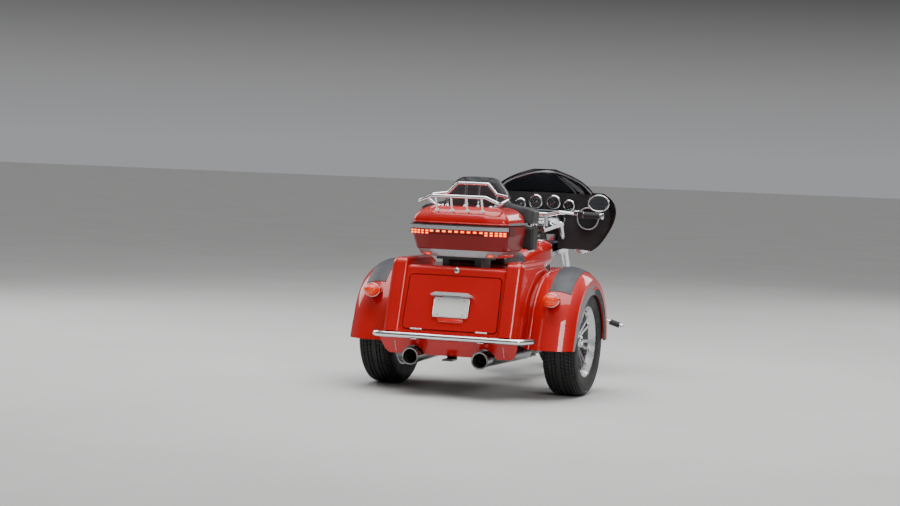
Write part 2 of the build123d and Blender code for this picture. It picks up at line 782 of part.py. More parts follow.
def light_bar():
    """A dark band round the rear of the box, with raised lamps: one row, and two at each end."""
    band_plan = box_plan(LIGHT_BAR_LOW, 330, 306, -1202, -930)
    bar = extrude(band_plan, LIGHT_BAR_HIGH - LIGHT_BAR_LOW) - block((-400, -1060, 900), (400, -700, 1100))
    for index in range(-4, 5):
        x = index * LAMP_PITCH
        bar += block((x - 11, -1205, 958), (x + 11, -1195, 972))
    return bar - box_shell(0)


RACK_R = 10
POST_R = 7
HOOP_Y = -920


def rack():
    """Chrome rails on the lid, low at the rear corners, with a raised hoop in front."""
    rear_rail = [
        (-249, -1030, 1158),
        (-249, -1176, 1134),
        (-165, -1184, 1170),
        (165, -1184, 1170),
        (249, -1176, 1134),
        (249, -1030, 1158),
    ]
    front_rail = [
        (249, -1030, 1158),
        (240, -960, 1172),
        (150, HOOP_Y - 6, 1186),
        (94, HOOP_Y, 1245),
        (-94, HOOP_Y, 1245),
        (-150, HOOP_Y - 6, 1186),
        (-240, -960, 1172),
        (-249, -1030, 1158),
    ]
    piece = pipe(rear_rail, 26, RACK_R) + pipe(front_rail, 18, RACK_R)
    for x in (-140, -47, 47, 140):
        piece += rod((x, -1150, 1085), (x, -1184, 1170), POST_R)
    for x in (-40, 40):
        piece += rod((x, HOOP_Y, 1245), (x, HOOP_Y - 14, 1100), POST_R)
    foot = pipe([(246, -1030, 1156), (200, -1030, 1118), (150, -1030, 1104)], 20, POST_R)
    foot += rod((150, HOOP_Y - 6, 1186), (150, HOOP_Y - 20, 1090), POST_R)
    return piece + pair(foot) - lid_shell(0)


pod = softened(block((296, -848, 866), (360, -738, 1000)), 16, Axis.Y)
pod_arm = block((262, BOX_FRONT, 880), (318, -830, 960))
pad_right = [(120, 1300), (205, 1195), (205, 1010), (150, 880)]
pad_front = [(-x, z) for x, z in reversed(pad_right)] + pad_right
back_pad = prism(pad_front, "y", -850, -772, [30, 80, 120, 100, 100, 120, 80, 30])
back_pad = fillet(back_pad.edges().filter_by(lambda e: (e @ 0.5).Y > -773), 24)
wing_plan = [(150, -850), (372, -850), (372, -690), (322, -690), (292, -774), (150, -774)]
wing_front = [(150, 1012), (366, 1012), (372, 1096), (330, 1114), (150, 1166)]
wing = prism(wing_plan, "z", 1000, 1200, [0, 44, 22, 22, 30, 0])
wing &= prism(wing_front, "y", -860, -680, [0, 16, 16, 40, 0])
mount = block((-150, -1100, 798), (150, -890, BOX_BOTTOM)) + block((-110, BOX_FRONT, 890), (110, -850, 1000))
mount += pair(block((80, -1080, BODY_TOP), (120, -900, 800)))
save(
    box_base=box_shell(0) - box_shell(WALL),
    box_lid=lid_shell(0) - lid_shell(5),
    box_light_bar=light_bar(),
    luggage_rack=rack(),
    speaker_pods=pair(pod + pod_arm),
    backrest=back_pad + pair(wing),
    box_mount=mount,
)

# Fork, clamps and bars
AXIS_PLANE = Plane(origin=head_low, x_dir=(1, 0, 0), z_dir=head_axis)


def clamp(height, thickness):
    """A fork clamp, joining the stem and both tubes."""
    end_x, stem_x = FORK_X + 34, 38
    right = [(end_x, FORK_OFFSET + 32), (end_x, FORK_OFFSET - 30), (stem_x, -36)]
    points = right + [(-x, y) for x, y in reversed(right)]
    return extrude(AXIS_PLANE.offset(height) * outline(points, [28, 20, 20, 20, 20, 28]), thickness)


def fork_tube():
    """The right slider and upper tube, with the axle's foot."""
    foot = Vector(FORK_X, FRONT_Y, FRONT_R)
    slider = rod(foot - head_axis * 38, foot + head_axis * 330, SLIDER_R)
    tube = rod(foot + head_axis * 320, foot + head_axis * 800, FORK_TUBE_R)
    return slider + tube


front_axle = rod((-FORK_X, FRONT_Y, FRONT_R), (FORK_X, FRONT_Y, FRONT_R), AXLE_R - RUNNING_GAP)
stem = rod(head_low - head_axis * 30, head_high + head_axis * 30, STEM_R)
fork = pair(fork_tube()) + clamp(-36, 30) + clamp(166, 26) + stem + front_axle
bar_line = [(-470, 318, 1048), (-330, 345, 1052), (-150, 470, 1060), (-60, 500, 1040)]
bar_line += [(-x, y, z) for x, y, z in reversed(bar_line)]
risers = pair(rod((45, 505, 962), (45, 500, 1040), 16))
grips = pair(rod((345, 342, 1052), (474, 317, 1048), 19))
levers = pair(pipe([(290, 380, 1054), (318, 418, 1052), (450, 386, 1046)], 20, 6))
save(fork=fork, handlebar=(pipe(bar_line, 40, 14) + risers + grips + levers) - fork)


# Fairing, screen and lamps
def bow(half, front, back, height, thickness=0):
    """A bowed section at a height: a thin crescent, or filled back to its ends."""
    outer = ThreePointArc((-half, back), (0, front), (half, back))
    if not thickness:
        return Plane.XY.offset(height) * make_face([outer, Line((half, back), (-half, back))])
    inner = ThreePointArc((half - thickness, back), (0, front - thickness), (-half + thickness, back))
    ends = [Line((half, back), (half - thickness, back)), Line((-half + thickness, back), (-half, back))]
    return Plane.XY.offset(height) * make_face([outer, inner] + ends)


# height, half width, front y, back y
FAIRING_ROWS = [
    (806, 322, 792, 640),
    (900, 422, 866, 612),
    (1000, 480, 866, 590),
    (1085, 496, 822, 575),
    (1140, 476, 780, 568),
    (1190, 408, 742, 566),
]
SCREEN_ROWS = [
    (1178, 350, 752, 564),
    (1231, 304, 722, 562),
    (1284, 220, 688, 561),
    (1336, 70, 655, 560),
]
FAIRING_T = 6
# x, z, radius of the round housings on the inner fairing
DASH_RINGS = [(62, 1118, 46), (168, 1100, 38), (300, 1020, 74)]
fairing = loft([bow(half, front, back, z, FAIRING_T) for z, half, front, back in FAIRING_ROWS])
inside = loft([bow(half - FAIRING_T, front - FAIRING_T, back, z) for z, half, front, back in FAIRING_ROWS])
screen = loft([bow(half, front, back, z, 4) for z, half, front, back in SCREEN_ROWS])
dash = block((-500, 640, 812), (500, 652, 1180)) & inside
dash += block((-100, 600, 985), (100, 645, 1068)) & inside
for x, z, radius in DASH_RINGS:
    dash += pair(rod((x, 606, z), (x, 645, z), radius) - rod((x, 600, z), (x, 634, z), radius - 6)) & inside
dash -= block((-90, 500, 700), (90, 700, 905))
lamp_line = [(0, 0), (92, 0), (98, 80), (98, 100), (60, 116), (0, 120)]
headlamp = turned_lengthwise(lamp_line, (0, 776, 930), [0, 0, 20, 14, 60, 0])
lamp_way = rod((0, 700, 930), (0, 1000, 930), 99)
spot_line = [(0, 0), (34, 4), (54, 34), (54, 72), (46, 80), (0, 84)]
spot_can = turned_lengthwise(spot_line, (200, 812, 830), [0, 20, 20, 6, 10, 0])
spot = spot_can + rod((200, 830, 830), (140, 719, 838), 10) - fork
fairing = fairing - lamp_way - pair(rod((200, 700, 830), (200, 1000, 830), 62)) - screen
mirror_face = Plane.XZ * Ellipse(72, 56)
mirror_head = Location((391, 535, 1125)) * extrude(mirror_face, 12, both=True)
mirror_head = fillet(mirror_head.edges().sort_by(Axis.Y)[-1], 10)
mirror_stalk = rod((391, 540, 1076), (372, 600, 1030), 6)
save(
    fairing_outer=fairing,
    fairing_inner=dash - fairing - screen - fork,
    windscreen=screen,
    front_lamps=headlamp + pair(spot),
    mirrors=pair(mirror_head + mirror_stalk) - fairing - dash,
)

# Front fender and brakes
FRONT_FENDER_HALF = 82
FRONT_FENDER_TOP = 346


def front_fender_section(inset):
    """The front fender's section (x, radius) with rounded shoulders, or its hollow."""
    half, top = FRONT_FENDER_HALF - inset, FRONT_FENDER_TOP - inset
    right = [(half - 22, top), (half, top - 16), (half, 288 - inset)]
    points = [(-x, r) for x, r in reversed(right)] + right
    return outline(points, [0, 20, 40, 40, 20, 0])


front_fender = turned(front_fender_section(0) - front_fender_section(4), FRONT_Y, FRONT_R, -62, 160)
fender_leg = block((81, 830, 575), (92, 900, 600))
caliper = prism([(855, 335), (855, 430), (912, 430), (912, 335)], "x", 60, 92, 12)
caliper -= block((DISC_X - 8, 863, 300), (DISC_X + 8, 940, 440))
save(
    front_fender=front_fender + pair(fender_leg) - fork,
    brake_calipers=pair(caliper) - fork,
)
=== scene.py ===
# %% [markdown]
# # A touring trike, dressed around its construction
# The construction model gives every rigid piece at its real size and place.
# This lesson adds what the eye looks for: tread on the tyres, stuffed seats, lit lamps, dials,
# trims and bolts, and a finish for every surface. All sizes are metres, and +Y is the front.

# %% Load the construction
import bmesh
import bpy
import json
import math
from mathutils import Matrix, Vector
from mathutils.bvhtree import BVHTree


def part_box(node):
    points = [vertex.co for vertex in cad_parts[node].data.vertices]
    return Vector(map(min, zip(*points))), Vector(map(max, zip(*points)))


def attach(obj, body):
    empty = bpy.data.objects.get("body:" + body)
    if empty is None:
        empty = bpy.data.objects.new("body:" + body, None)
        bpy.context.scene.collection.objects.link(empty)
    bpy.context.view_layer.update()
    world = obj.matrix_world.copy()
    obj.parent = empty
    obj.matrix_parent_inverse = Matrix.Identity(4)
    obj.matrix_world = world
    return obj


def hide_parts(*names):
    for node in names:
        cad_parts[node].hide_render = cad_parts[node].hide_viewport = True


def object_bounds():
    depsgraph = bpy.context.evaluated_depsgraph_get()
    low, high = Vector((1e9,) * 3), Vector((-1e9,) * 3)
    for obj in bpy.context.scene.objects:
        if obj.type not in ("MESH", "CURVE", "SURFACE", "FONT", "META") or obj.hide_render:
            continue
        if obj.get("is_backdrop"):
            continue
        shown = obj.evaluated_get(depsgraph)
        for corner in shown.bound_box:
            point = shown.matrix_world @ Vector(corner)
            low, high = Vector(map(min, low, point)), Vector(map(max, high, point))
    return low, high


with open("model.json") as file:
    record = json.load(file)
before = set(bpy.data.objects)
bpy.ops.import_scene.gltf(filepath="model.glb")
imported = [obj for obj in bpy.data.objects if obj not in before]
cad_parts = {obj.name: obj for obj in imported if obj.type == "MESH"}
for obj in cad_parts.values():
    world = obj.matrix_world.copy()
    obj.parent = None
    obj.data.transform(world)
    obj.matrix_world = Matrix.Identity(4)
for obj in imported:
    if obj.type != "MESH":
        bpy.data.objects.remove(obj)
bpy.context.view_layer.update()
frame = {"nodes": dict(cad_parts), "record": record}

# %% [markdown]
# ## The photographer's place
# The view comes from the vanishing lines of the tail: low, far back and a little to the right.
# A long lens keeps the proportions flat. The turn, the tilt and the lean of the camera are kept as
# three angles, so that each can be read and changed by itself.

# %% Camera
CAMERA_PLACE = Vector((3.9566, -12.9359, 1.4455))
CAMERA_TURN = math.radians(18.783)
CAMERA_DROP = math.radians(2.799)
CAMERA_LEAN = math.radians(2.086)
LENS_MM = 85.12


def camera_matrix():
    """Where the camera stands and how it is turned, dropped and leaned."""
    level = Matrix.Rotation(CAMERA_TURN, 4, "Z") @ Matrix.Rotation(math.pi / 2 - CAMERA_DROP, 4, "X")
    return Matrix.Translation(CAMERA_PLACE) @ level @ Matrix.Rotation(CAMERA_LEAN, 4, "Z")


camera = bpy.data.objects.new("camera", bpy.data.cameras.new("camera"))
camera.data.lens = LENS_MM
camera.data.sensor_width = 36
camera.matrix_world = camera_matrix()
bpy.context.scene.collection.objects.link(camera)
bpy.context.scene.camera = camera
print("camera looks along", [round(v, 3) for v in camera.matrix_world.to_quaternion() @ Vector((0, 0, -1))])

# %% [markdown]
# ## Small tools for shapes
# Each tool starts a mesh, lets one operator make the form, and hands it back. A piece of the
# vehicle is then a list of such shapes, each with its own finish, joined into one mesh.


# %% Shapes
def at(*millimetres):
    """A place given in millimetres."""
    return Vector(millimetres) / 1000


def block(low, high, round_edge=0.0, segments=2):
    """A box between two corners, its edges rounded."""
    shape = bmesh.new()
    size, middle = high - low, (high + low) / 2
    bmesh.ops.create_cube(shape, size=1, matrix=Matrix.Translation(middle) @ Matrix.Diagonal((*size, 1)))
    if round_edge:
        round_off(shape, shape.edges, round_edge, segments)
    return shape


def round_off(shape, edges, width, segments=2):
    """Rounds some edges of a shape."""
    bmesh.ops.bevel(shape, geom=list(edges), offset=width, offset_type="OFFSET", segments=segments,
                    profile=0.5, affect="EDGES", material=-1, clamp_overlap=True)


def turned(points, origin, axis, steps=48, closed=False):
    """Points (along the axis, away from it) spun about the axis."""
    axis = Vector(axis).normalized()
    side = axis.orthogonal().normalized()
    shape = bmesh.new()
    verts = [shape.verts.new(origin + axis * along + side * away) for along, away in points]
    loops = zip(verts, verts[1:] + verts[:1] if closed else verts[1:])
    edges = [shape.edges.new(pair) for pair in loops]
    bmesh.ops.spin(shape, geom=verts + edges, cent=origin, axis=axis, angle=2 * math.pi, steps=steps,
                   use_merge=True, use_duplicate=False)
    bmesh.ops.remove_doubles(shape, verts=shape.verts, dist=1e-5)
    bmesh.ops.recalc_face_normals(shape, faces=shape.faces)
    return shape


def rod(start, end, radius, sides=16, end_radius=None):
    """A round bar between two places, straight or tapered."""
    line = end - start
    turn = line.to_track_quat("Z", "Y").to_matrix().to_4x4()
    shape = bmesh.new()
    bmesh.ops.create_cone(shape, cap_ends=True, segments=sides, radius1=radius, depth=line.length,
                          radius2=radius if end_radius is None else end_radius,
                          matrix=Matrix.Translation((start + end) / 2) @ turn)
    return shape


def ball(centre, radius, squash=(1, 1, 1)):
    """A ball, or a lens shape where it is squashed."""
    shape = bmesh.new()
    bmesh.ops.create_uvsphere(shape, u_segments=24, v_segments=12, radius=radius,
                              matrix=Matrix.Translation(centre) @ Matrix.Diagonal((*squash, 1)))
    return shape


def tube(points, radius, closed=False, sides=3, smooth=True):
    """A round strand through places, as a smooth curve made into a mesh."""
    curve = bpy.data.curves.new("strand", "CURVE")
    curve.dimensions = "3D"
    curve.bevel_depth = radius
    curve.bevel_resolution = sides
    curve.use_fill_caps = True
    spline = curve.splines.new("NURBS" if smooth else "POLY")
    spline.points.add(len(points) - 1)
    for point, place in zip(spline.points, points):
        point.co = (*place, 1)
    spline.use_cyclic_u = closed
    if smooth:
        spline.order_u = 3
        spline.use_endpoint_u = not closed
        spline.resolution_u = 6
    holder = bpy.data.objects.new("strand", curve)
    shape = bmesh.new()
    shape.from_mesh(bpy.data.meshes.new_from_object(holder))
    bpy.data.objects.remove(holder)
    bpy.data.curves.remove(curve)
    bmesh.ops.remove_doubles(shape, verts=shape.verts, dist=1e-6)
    return shape


def placed(shape, matrix):
    """The shape, moved and turned by a matrix."""
    bmesh.ops.transform(shape, matrix=matrix, verts=shape.verts)
    return shape


def mirrored(shape):
    """A copy of the shape on the other side of the vehicle."""
    twin = shape.copy()
    bmesh.ops.transform(twin, matrix=Matrix.Diagonal((-1, 1, 1, 1)), verts=twin.verts)
    bmesh.ops.reverse_faces(twin, faces=twin.faces)
    return twin


def both_sides(parts):
    """Shapes with their finishes, and the same on the other side of the vehicle."""
    return parts + [(mirrored(shape), finish) for shape, finish in parts]


def side_block(side, low, high, round_edge=0.0, segments=2):
    """A box given in millimetres for the right side (1), made there or on the left side (-1)."""
    low_x, high_x = sorted((side * low[0], side * high[0]))
    return block(at(low_x, *low[1:]), at(high_x, *high[1:]), round_edge, segments)


def oblong(low_x, high_x, low, high):
    """The corners of an oblong, as pairs in order round it."""
    return (low_x, low), (high_x, low), (high_x, high), (low_x, high)


def eased(before, corner, after, radius, steps):
    """Places on the short curve that replaces a corner."""
    start = corner + (before - corner).normalized() * radius
    end = corner + (after - corner).normalized() * radius
    shares = [step / steps for step in range(steps + 1)]
    return [start.lerp(corner, share).lerp(corner.lerp(end, share), share) for share in shares]


def rim(corners, ease, radius):
    """A thin closed strand through corners, each of them eased."""
    places = []
    for before, corner, after in zip(corners[-1:] + corners[:-1], corners, corners[1:] + corners[:1]):
        places += eased(before, corner, after, ease, 5)
    return tube(places, radius, closed=True, smooth=False)


def oval(centre, half_width, half_height, steps, radius, sides=3):
    """A thin closed strand on an upright ellipse that faces the rear."""
    turns = [2 * math.pi * step / steps for step in range(steps)]
    places = [centre + Vector((half_width * math.cos(a), 0, half_height * math.sin(a))) for a in turns]
    return tube(places, radius, closed=True, sides=sides, smooth=False)


def make_piece(name, body, shapes, replaces=(), sharp_degrees=38):
    """Joins shapes, each with its finish, into one named piece that rides on a body."""
    whole = bmesh.new()
    finishes = []
    for shape, finish in shapes:
        if finish not in finishes:
            finishes.append(finish)
        for face in shape.faces:
            face.material_index = finishes.index(finish)
        part = bpy.data.meshes.new("part")
        shape.to_mesh(part)
        whole.from_mesh(part)
        bpy.data.meshes.remove(part)
    mesh = bpy.data.meshes.new(name)
    whole.to_mesh(mesh)
    for finish in finishes:
        mesh.materials.append(finish)
    mesh.shade_smooth()
    mesh.set_sharp_from_angle(angle=math.radians(sharp_degrees))
    piece = bpy.data.objects.new(name, mesh)
    bpy.context.scene.collection.objects.link(piece)
    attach(piece, body)
    if replaces:
        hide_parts(*replaces)
    print(name, len(mesh.polygons), "faces on", body)
    return piece


# %% [markdown]
# ## Finishes
# Every finish is one shader with a few textures in object coordinates, so that a pattern keeps its
# real size on every piece and stays put when the piece moves. Colour wanders a little, roughness
# wanders more, and a fine bump gives the grain.


# %% A finish and its textures
class Finish:
    """One material: a shader, and textures that are added to it."""

    def __init__(self, name, colour, roughness, metallic=0.0, **sockets):
        self.material = bpy.data.materials.new(name)
        self.material.use_nodes = True
        self.tree = self.material.node_tree
        self.shader = self.tree.nodes["Principled BSDF"]
        self.colour = (*colour, 1)
        self.shader.inputs["Base Color"].default_value = self.colour
        self.shader.inputs["Roughness"].default_value = roughness
        self.shader.inputs["Metallic"].default_value = metallic
        for socket, value in sockets.items():
            self.shader.inputs[socket.replace("_", " ")].default_value = value
        self.place = self.tree.nodes.new("ShaderNodeTexCoord").outputs["Object"]
        self.normal = None

    def node(self, kind, links=None, values=None, **settings):
        """Adds a node with its settings, its linked inputs and its plain inputs."""
        made = self.tree.nodes.new("ShaderNode" + kind)
        for key, value in settings.items():
            setattr(made, key, value)
        for socket, source in (links or {}).items():
            self.tree.links.new(source, made.inputs[socket])
        for socket, value in (values or {}).items():
            made.inputs[socket].default_value = value
        return made

    def axes(self):
        """The place's X, Y and Z, each by itself."""
        return self.node("SeparateXYZ", {"Vector": self.place}).outputs

    def calculate(self, operation, *values):
        """One Math node over textures and plain numbers."""
        made = self.node("Math", operation=operation)
        for socket, value in zip(made.inputs, values):
            if isinstance(value, (int, float)):
                socket.default_value = value
            else:
                self.tree.links.new(value, socket)
        return made.outputs[0]

    def noise(self, scale, detail=4):
        """Cloudy values about one half."""
        values = {"Scale": scale, "Detail": detail}
        return self.node("TexNoise", {"Vector": self.place}, values).outputs["Fac"]

    def between(self, source, low, high, from_low=0.3, from_high=0.7):
        """A texture's values spread between two numbers."""
        values = {"From Min": from_low, "From Max": from_high, "To Min": low, "To Max": high}
        return self.node("MapRange", {"Value": source}, values).outputs["Result"]

    def roughness(self, scale, low, high):
        """Roughness that wanders between two values."""
        self.tree.links.new(self.between(self.noise(scale), low, high), self.shader.inputs["Roughness"])
        return self

    def tint(self, other, share):
        """Mixes another colour in, where a texture says."""
        mix = self.node("Mix", {"Factor": share}, data_type="RGBA")
        base = self.shader.inputs["Base Color"]
        if base.is_linked:
            self.tree.links.new(base.links[0].from_socket, mix.inputs[6])
        else:
            mix.inputs[6].default_value = self.colour
        mix.inputs[7].default_value = (*other, 1)
        self.tree.links.new(mix.outputs[2], base)
        return self

    def cloud(self, other, scale, most=1.0):
        """Another colour in soft patches."""
        return self.tint(other, self.between(self.noise(scale), 0, most))

    def dust(self, other, top, most):
        """Road dust that thins out upwards, in patches."""
        low = self.between(self.axes()["Z"], most, 0, 0.0, top)
        return self.tint(other, self.calculate("MULTIPLY", low, self.between(self.noise(9, 6), 0.3, 1)))

    def bump(self, height, strength, distance):
        """Relief from a texture's values."""
        links = {"Height": height}
        if self.normal is not None:
            links["Normal"] = self.normal
        made = self.node("Bump", links, {"Strength": strength, "Distance": distance})
        self.normal = made.outputs["Normal"]
        self.tree.links.new(self.normal, self.shader.inputs["Normal"])
        return self

    def grain(self, scale, strength, distance=0.0004):
        """A fine cloudy relief."""
        return self.bump(self.noise(scale, 3), strength, distance)

    def cells(self, scale, strength, distance=0.0005):
        """A relief of small rounded cells, as in leather."""
        source = self.node("TexVoronoi", {"Vector": self.place}, {"Scale": scale}, feature="F1")
        return self.bump(source.outputs["Distance"], strength, distance)

    def ribs(self, scale, strength, distance=0.001, direction="X"):
        """A relief of even ribs."""
        source = self.node("TexWave", {"Vector": self.place}, {"Scale": scale}, bands_direction=direction)
        return self.bump(source.outputs["Fac"], strength, distance)


# %% [markdown]
# ## Paint, metal, rubber and the rest
# The red is a deep candy coat: a slightly metallic base under a clear coat, with a fine flake.
# Chrome is never even, so its roughness has soft smears. Dust gathers low on the tyres and arches.


# %% Candy paint, and dark linings inside the red shells
LINING = (0.012, 0.012, 0.013)
# How far the rear face leans forward for each metre of height, and its inner side on the ground.
TAIL_SLOPE, REAR_FACE_DEPTH = 0.3195, -1.388
LOAD_SPACE = (  # axis, middle, half its reach
    ("X", 0, 0.397), ("Y", -1.02, 0.252), ("Z", 0.5385, 0.2145),
)


def red_paint(name, colour, deep, coat=1.0):
    """Candy paint: a flaked base with patches of a deeper tone, under a clear coat."""
    made = Finish(name, colour, 0.4, 0.1, Coat_Weight=coat, Coat_Roughness=0.02, Specular_IOR_Level=0.2)
    made.cloud(deep, 1.6, 0.6).roughness(5, 0.36, 0.48)
    return made.dust((0.10, 0.03, 0.02), 0.36, 0.12).grain(1800, 0.05, 0.0002)


def lined_shell(paint, middle):
    """Black where the surface of a hollow shell faces its middle."""
    from_middle = paint.node("VectorMath", {0: paint.place}, {1: middle}, operation="SUBTRACT").outputs[0]
    facing = paint.node("TexCoord").outputs["Normal"]
    out = paint.node("VectorMath", {0: from_middle, 1: facing}, operation="DOT_PRODUCT").outputs["Value"]
    return paint.tint(LINING, paint.calculate("LESS_THAN", out, 0.0))


def lined_load_space(paint):
    """Black inside the load space: between the side walls, floor, deck and the leaned rear face."""
    axes = paint.axes()
    depth = paint.calculate("SUBTRACT", axes["Y"], paint.calculate("MULTIPLY", axes["Z"], TAIL_SLOPE))
    inside = paint.calculate("GREATER_THAN", depth, REAR_FACE_DEPTH)
    for axis, middle, reach in LOAD_SPACE:
        inside = paint.calculate("MULTIPLY", inside, paint.calculate("COMPARE", axes[axis], middle, reach))
    return paint.tint(LINING, inside)


# %% Paints
BRIGHT_TONES = (0.60, 0.003, 0.002), (0.46, 0.002, 0.001)
BOX_MIDDLE = (0.0, -1.03, 0.99)
RED = red_paint("red_paint", *BRIGHT_TONES).material
BODY_RED = lined_load_space(red_paint("body_red_paint", *BRIGHT_TONES)).material
LID_RED = lined_shell(red_paint("lid_red_paint", *BRIGHT_TONES), BOX_MIDDLE).material
DARK_RED = red_paint("dark_red_paint", (0.27, 0.001, 0.001), (0.19, 0.001, 0.001), 0.35)
DARK_RED = lined_shell(DARK_RED, BOX_MIDDLE).material
BLACK_PAINT = (Finish("black_paint", (0.010, 0.010, 0.012), 0.25, Coat_Weight=1.0, Coat_Roughness=0.03)
               .cloud((0.02, 0.02, 0.023), 3).roughness(6, 0.2, 0.32).grain(1500, 0.04, 0.0002).material)

# %% Metals
CHROME = (Finish("chrome", (0.86, 0.87, 0.89), 0.07, 1.0)
          .cloud((0.74, 0.75, 0.78), 7, 0.5).roughness(11, 0.04, 0.13).grain(240, 0.02, 0.0002).material)
SATIN_CHROME = (Finish("satin_chrome", (0.92, 0.93, 0.94), 0.38, 0.75)
                .cloud((0.82, 0.83, 0.85), 9, 0.5).roughness(14, 0.34, 0.44).grain(600, 0.05).material)
# Painted shade: a darker chrome for the mufflers, which lie in shade.
SHADED_CHROME = (Finish("shaded_chrome", (0.20, 0.20, 0.21), 0.14, 1.0)
               .cloud((0.12, 0.12, 0.12), 8, 0.7).roughness(12, 0.1, 0.24).grain(260, 0.03).material)
ALLOY = (Finish("cast_alloy", (0.70, 0.71, 0.73), 0.26, 0.9)
         .cloud((0.56, 0.57, 0.59), 12, 0.7).roughness(20, 0.2, 0.34).grain(420, 0.10)
         .dust((0.24, 0.22, 0.20), 0.5, 0.3).material)
ENGINE_ALLOY = (Finish("engine_alloy", (0.46, 0.47, 0.49), 0.4, 0.85)
                .cloud((0.30, 0.30, 0.31), 14, 0.7).roughness(18, 0.34, 0.52).grain(330, 0.30).material)
BLACK_STEEL = (Finish("black_steel", (0.016, 0.016, 0.017), 0.4, Coat_Weight=0.3, Coat_Roughness=0.2)
               .cloud((0.035, 0.033, 0.031), 9).roughness(14, 0.32, 0.52).grain(300, 0.10)
               .dust((0.11, 0.095, 0.08), 0.35, 0.45).material)

# %% Rubber, leather and plastic
RUBBER = (Finish("tyre_rubber", (0.009, 0.009, 0.0095), 0.6)
          .cloud((0.018, 0.0175, 0.017), 16).roughness(22, 0.5, 0.72).grain(520, 0.22)
          .dust((0.032, 0.030, 0.027), 0.5, 0.25).material)
GRIP_RUBBER = (Finish("grip_rubber", (0.014, 0.014, 0.015), 0.62)
               .cloud((0.028, 0.028, 0.028), 30).roughness(30, 0.52, 0.72).grain(700, 0.2).material)
LEATHER = (Finish("seat_leather", (0.028, 0.030, 0.033), 0.46)
           .cloud((0.042, 0.044, 0.047), 8).roughness(16, 0.38, 0.58).cells(420, 0.30, 0.0006)
           .grain(900, 0.18).material)
THREAD = (Finish("seam_thread", (0.05, 0.05, 0.052), 0.7)
          .cloud((0.09, 0.09, 0.09), 60).ribs(400, 0.5, 0.0004, "Y").material)
PLASTIC = (Finish("black_plastic", (0.017, 0.017, 0.018), 0.5)
           .cloud((0.030, 0.030, 0.031), 10).roughness(18, 0.42, 0.6).grain(950, 0.25).material)

# %% Lamps
AMBER = (Finish("amber_lens", (0.85, 0.045, 0.001), 0.12, Coat_Weight=1.0, Specular_IOR_Level=0.3,
                Emission_Color=(1.0, 0.035, 0.0, 1), Emission_Strength=0.30)
         .cloud((0.55, 0.020, 0.001), 40, 0.6).ribs(60, 0.5, 0.002).material)
RED_LENS = (Finish("red_lens", (0.60, 0.010, 0.006), 0.1, Transmission_Weight=0.2, Coat_Weight=1.0,
                   Emission_Color=(1.0, 0.02, 0.004, 1), Emission_Strength=0.35)
            .cloud((0.22, 0.004, 0.003), 60, 0.7).ribs(90, 0.5, 0.001).material)
LAMP_BAND = (Finish("lamp_band", (0.10, 0.002, 0.001), 0.2, Coat_Weight=0.4, Coat_Roughness=0.02)
             .cloud((0.16, 0.003, 0.002), 30, 0.8).ribs(120, 0.25, 0.001).material)
LIT_LAMP = (Finish("lit_lamp", (1.0, 0.04, 0.002), 0.2, Emission_Color=(1.0, 0.040, 0.0, 1),
                   Emission_Strength=1.5)
            .cloud((1.0, 0.07, 0.004), 200, 0.8).material)
LAMP_CORE = (Finish("lamp_core", (1.0, 0.4, 0.08), 0.2, Emission_Color=(1.0, 0.30, 0.035, 1),
                    Emission_Strength=4.5)
             .cloud((1.0, 0.5, 0.1), 200, 0.6).material)

# %% Trim, belt, glass and dials
SILVER = (Finish("silver_trim", (0.42, 0.43, 0.45), 0.40, 0.35, Coat_Weight=0.4, Coat_Roughness=0.15)
          .cloud((0.36, 0.37, 0.39), 9, 0.7).roughness(16, 0.26, 0.4).grain(700, 0.08).material)
PLATE = (Finish("plate_white", (0.80, 0.80, 0.78), 0.35)
         .cloud((0.70, 0.70, 0.67), 25, 0.5).roughness(30, 0.28, 0.45).grain(500, 0.06).material)
BELT = (Finish("belt_rubber", (0.015, 0.015, 0.016), 0.6)
        .cloud((0.03, 0.03, 0.03), 20).ribs(36, 0.9, 0.004, "Y").material)
SCREEN = (Finish("smoked_screen", (0.035, 0.038, 0.045), 0.03, Transmission_Weight=0.85, IOR=1.49)
          .cloud((0.02, 0.022, 0.028), 3).roughness(8, 0.02, 0.06).material)
GLASS = (Finish("clear_glass", (0.96, 0.97, 1.0), 0.02, Transmission_Weight=1.0, IOR=1.46)
         .roughness(12, 0.0, 0.05).ribs(70, 0.12, 0.001).material)
MIRROR = (Finish("mirror_glass", (0.86, 0.88, 0.92), 0.02, 1.0)
          .cloud((0.78, 0.81, 0.86), 14, 0.4).roughness(10, 0.01, 0.05).material)
DIAL = (Finish("dial_face", (0.012, 0.012, 0.014), 0.35, Coat_Weight=1.0)
        .cloud((0.020, 0.020, 0.024), 40).roughness(40, 0.3, 0.42).material)
DIAL_MARK = (Finish("dial_mark", (0.78, 0.78, 0.74), 0.5)
             .cloud((0.66, 0.66, 0.62), 60, 0.6).material)
BLUE_GLASS = (Finish("display_glass", (0.015, 0.020, 0.028), 0.08, Coat_Weight=1.0)
              .cloud((0.03, 0.04, 0.05), 20).roughness(20, 0.05, 0.12).material)
# Soot inside the exhaust tips; on the brake discs the same dark finish is painted shade in the drilled
# holes.
SOOT_AND_SHADE = (Finish("soot_and_shade_steel", (0.012, 0.011, 0.010), 0.8, 0.3)
        .cloud((0.035, 0.030, 0.026), 40).grain(300, 0.3).material)


# %% Pads with their bands, and the engine's barrels
ARCH_BAND_X = 0.6925  # only the arch bands are further out than this
BAND_AXLE, BAND_BLACK = -0.66, -0.60  # a band starts to turn black, and is black
RED_STRIP = (("Y", -0.612, 0.068), ("Z", 0.642, 0.0065))  # axis, middle, half its reach


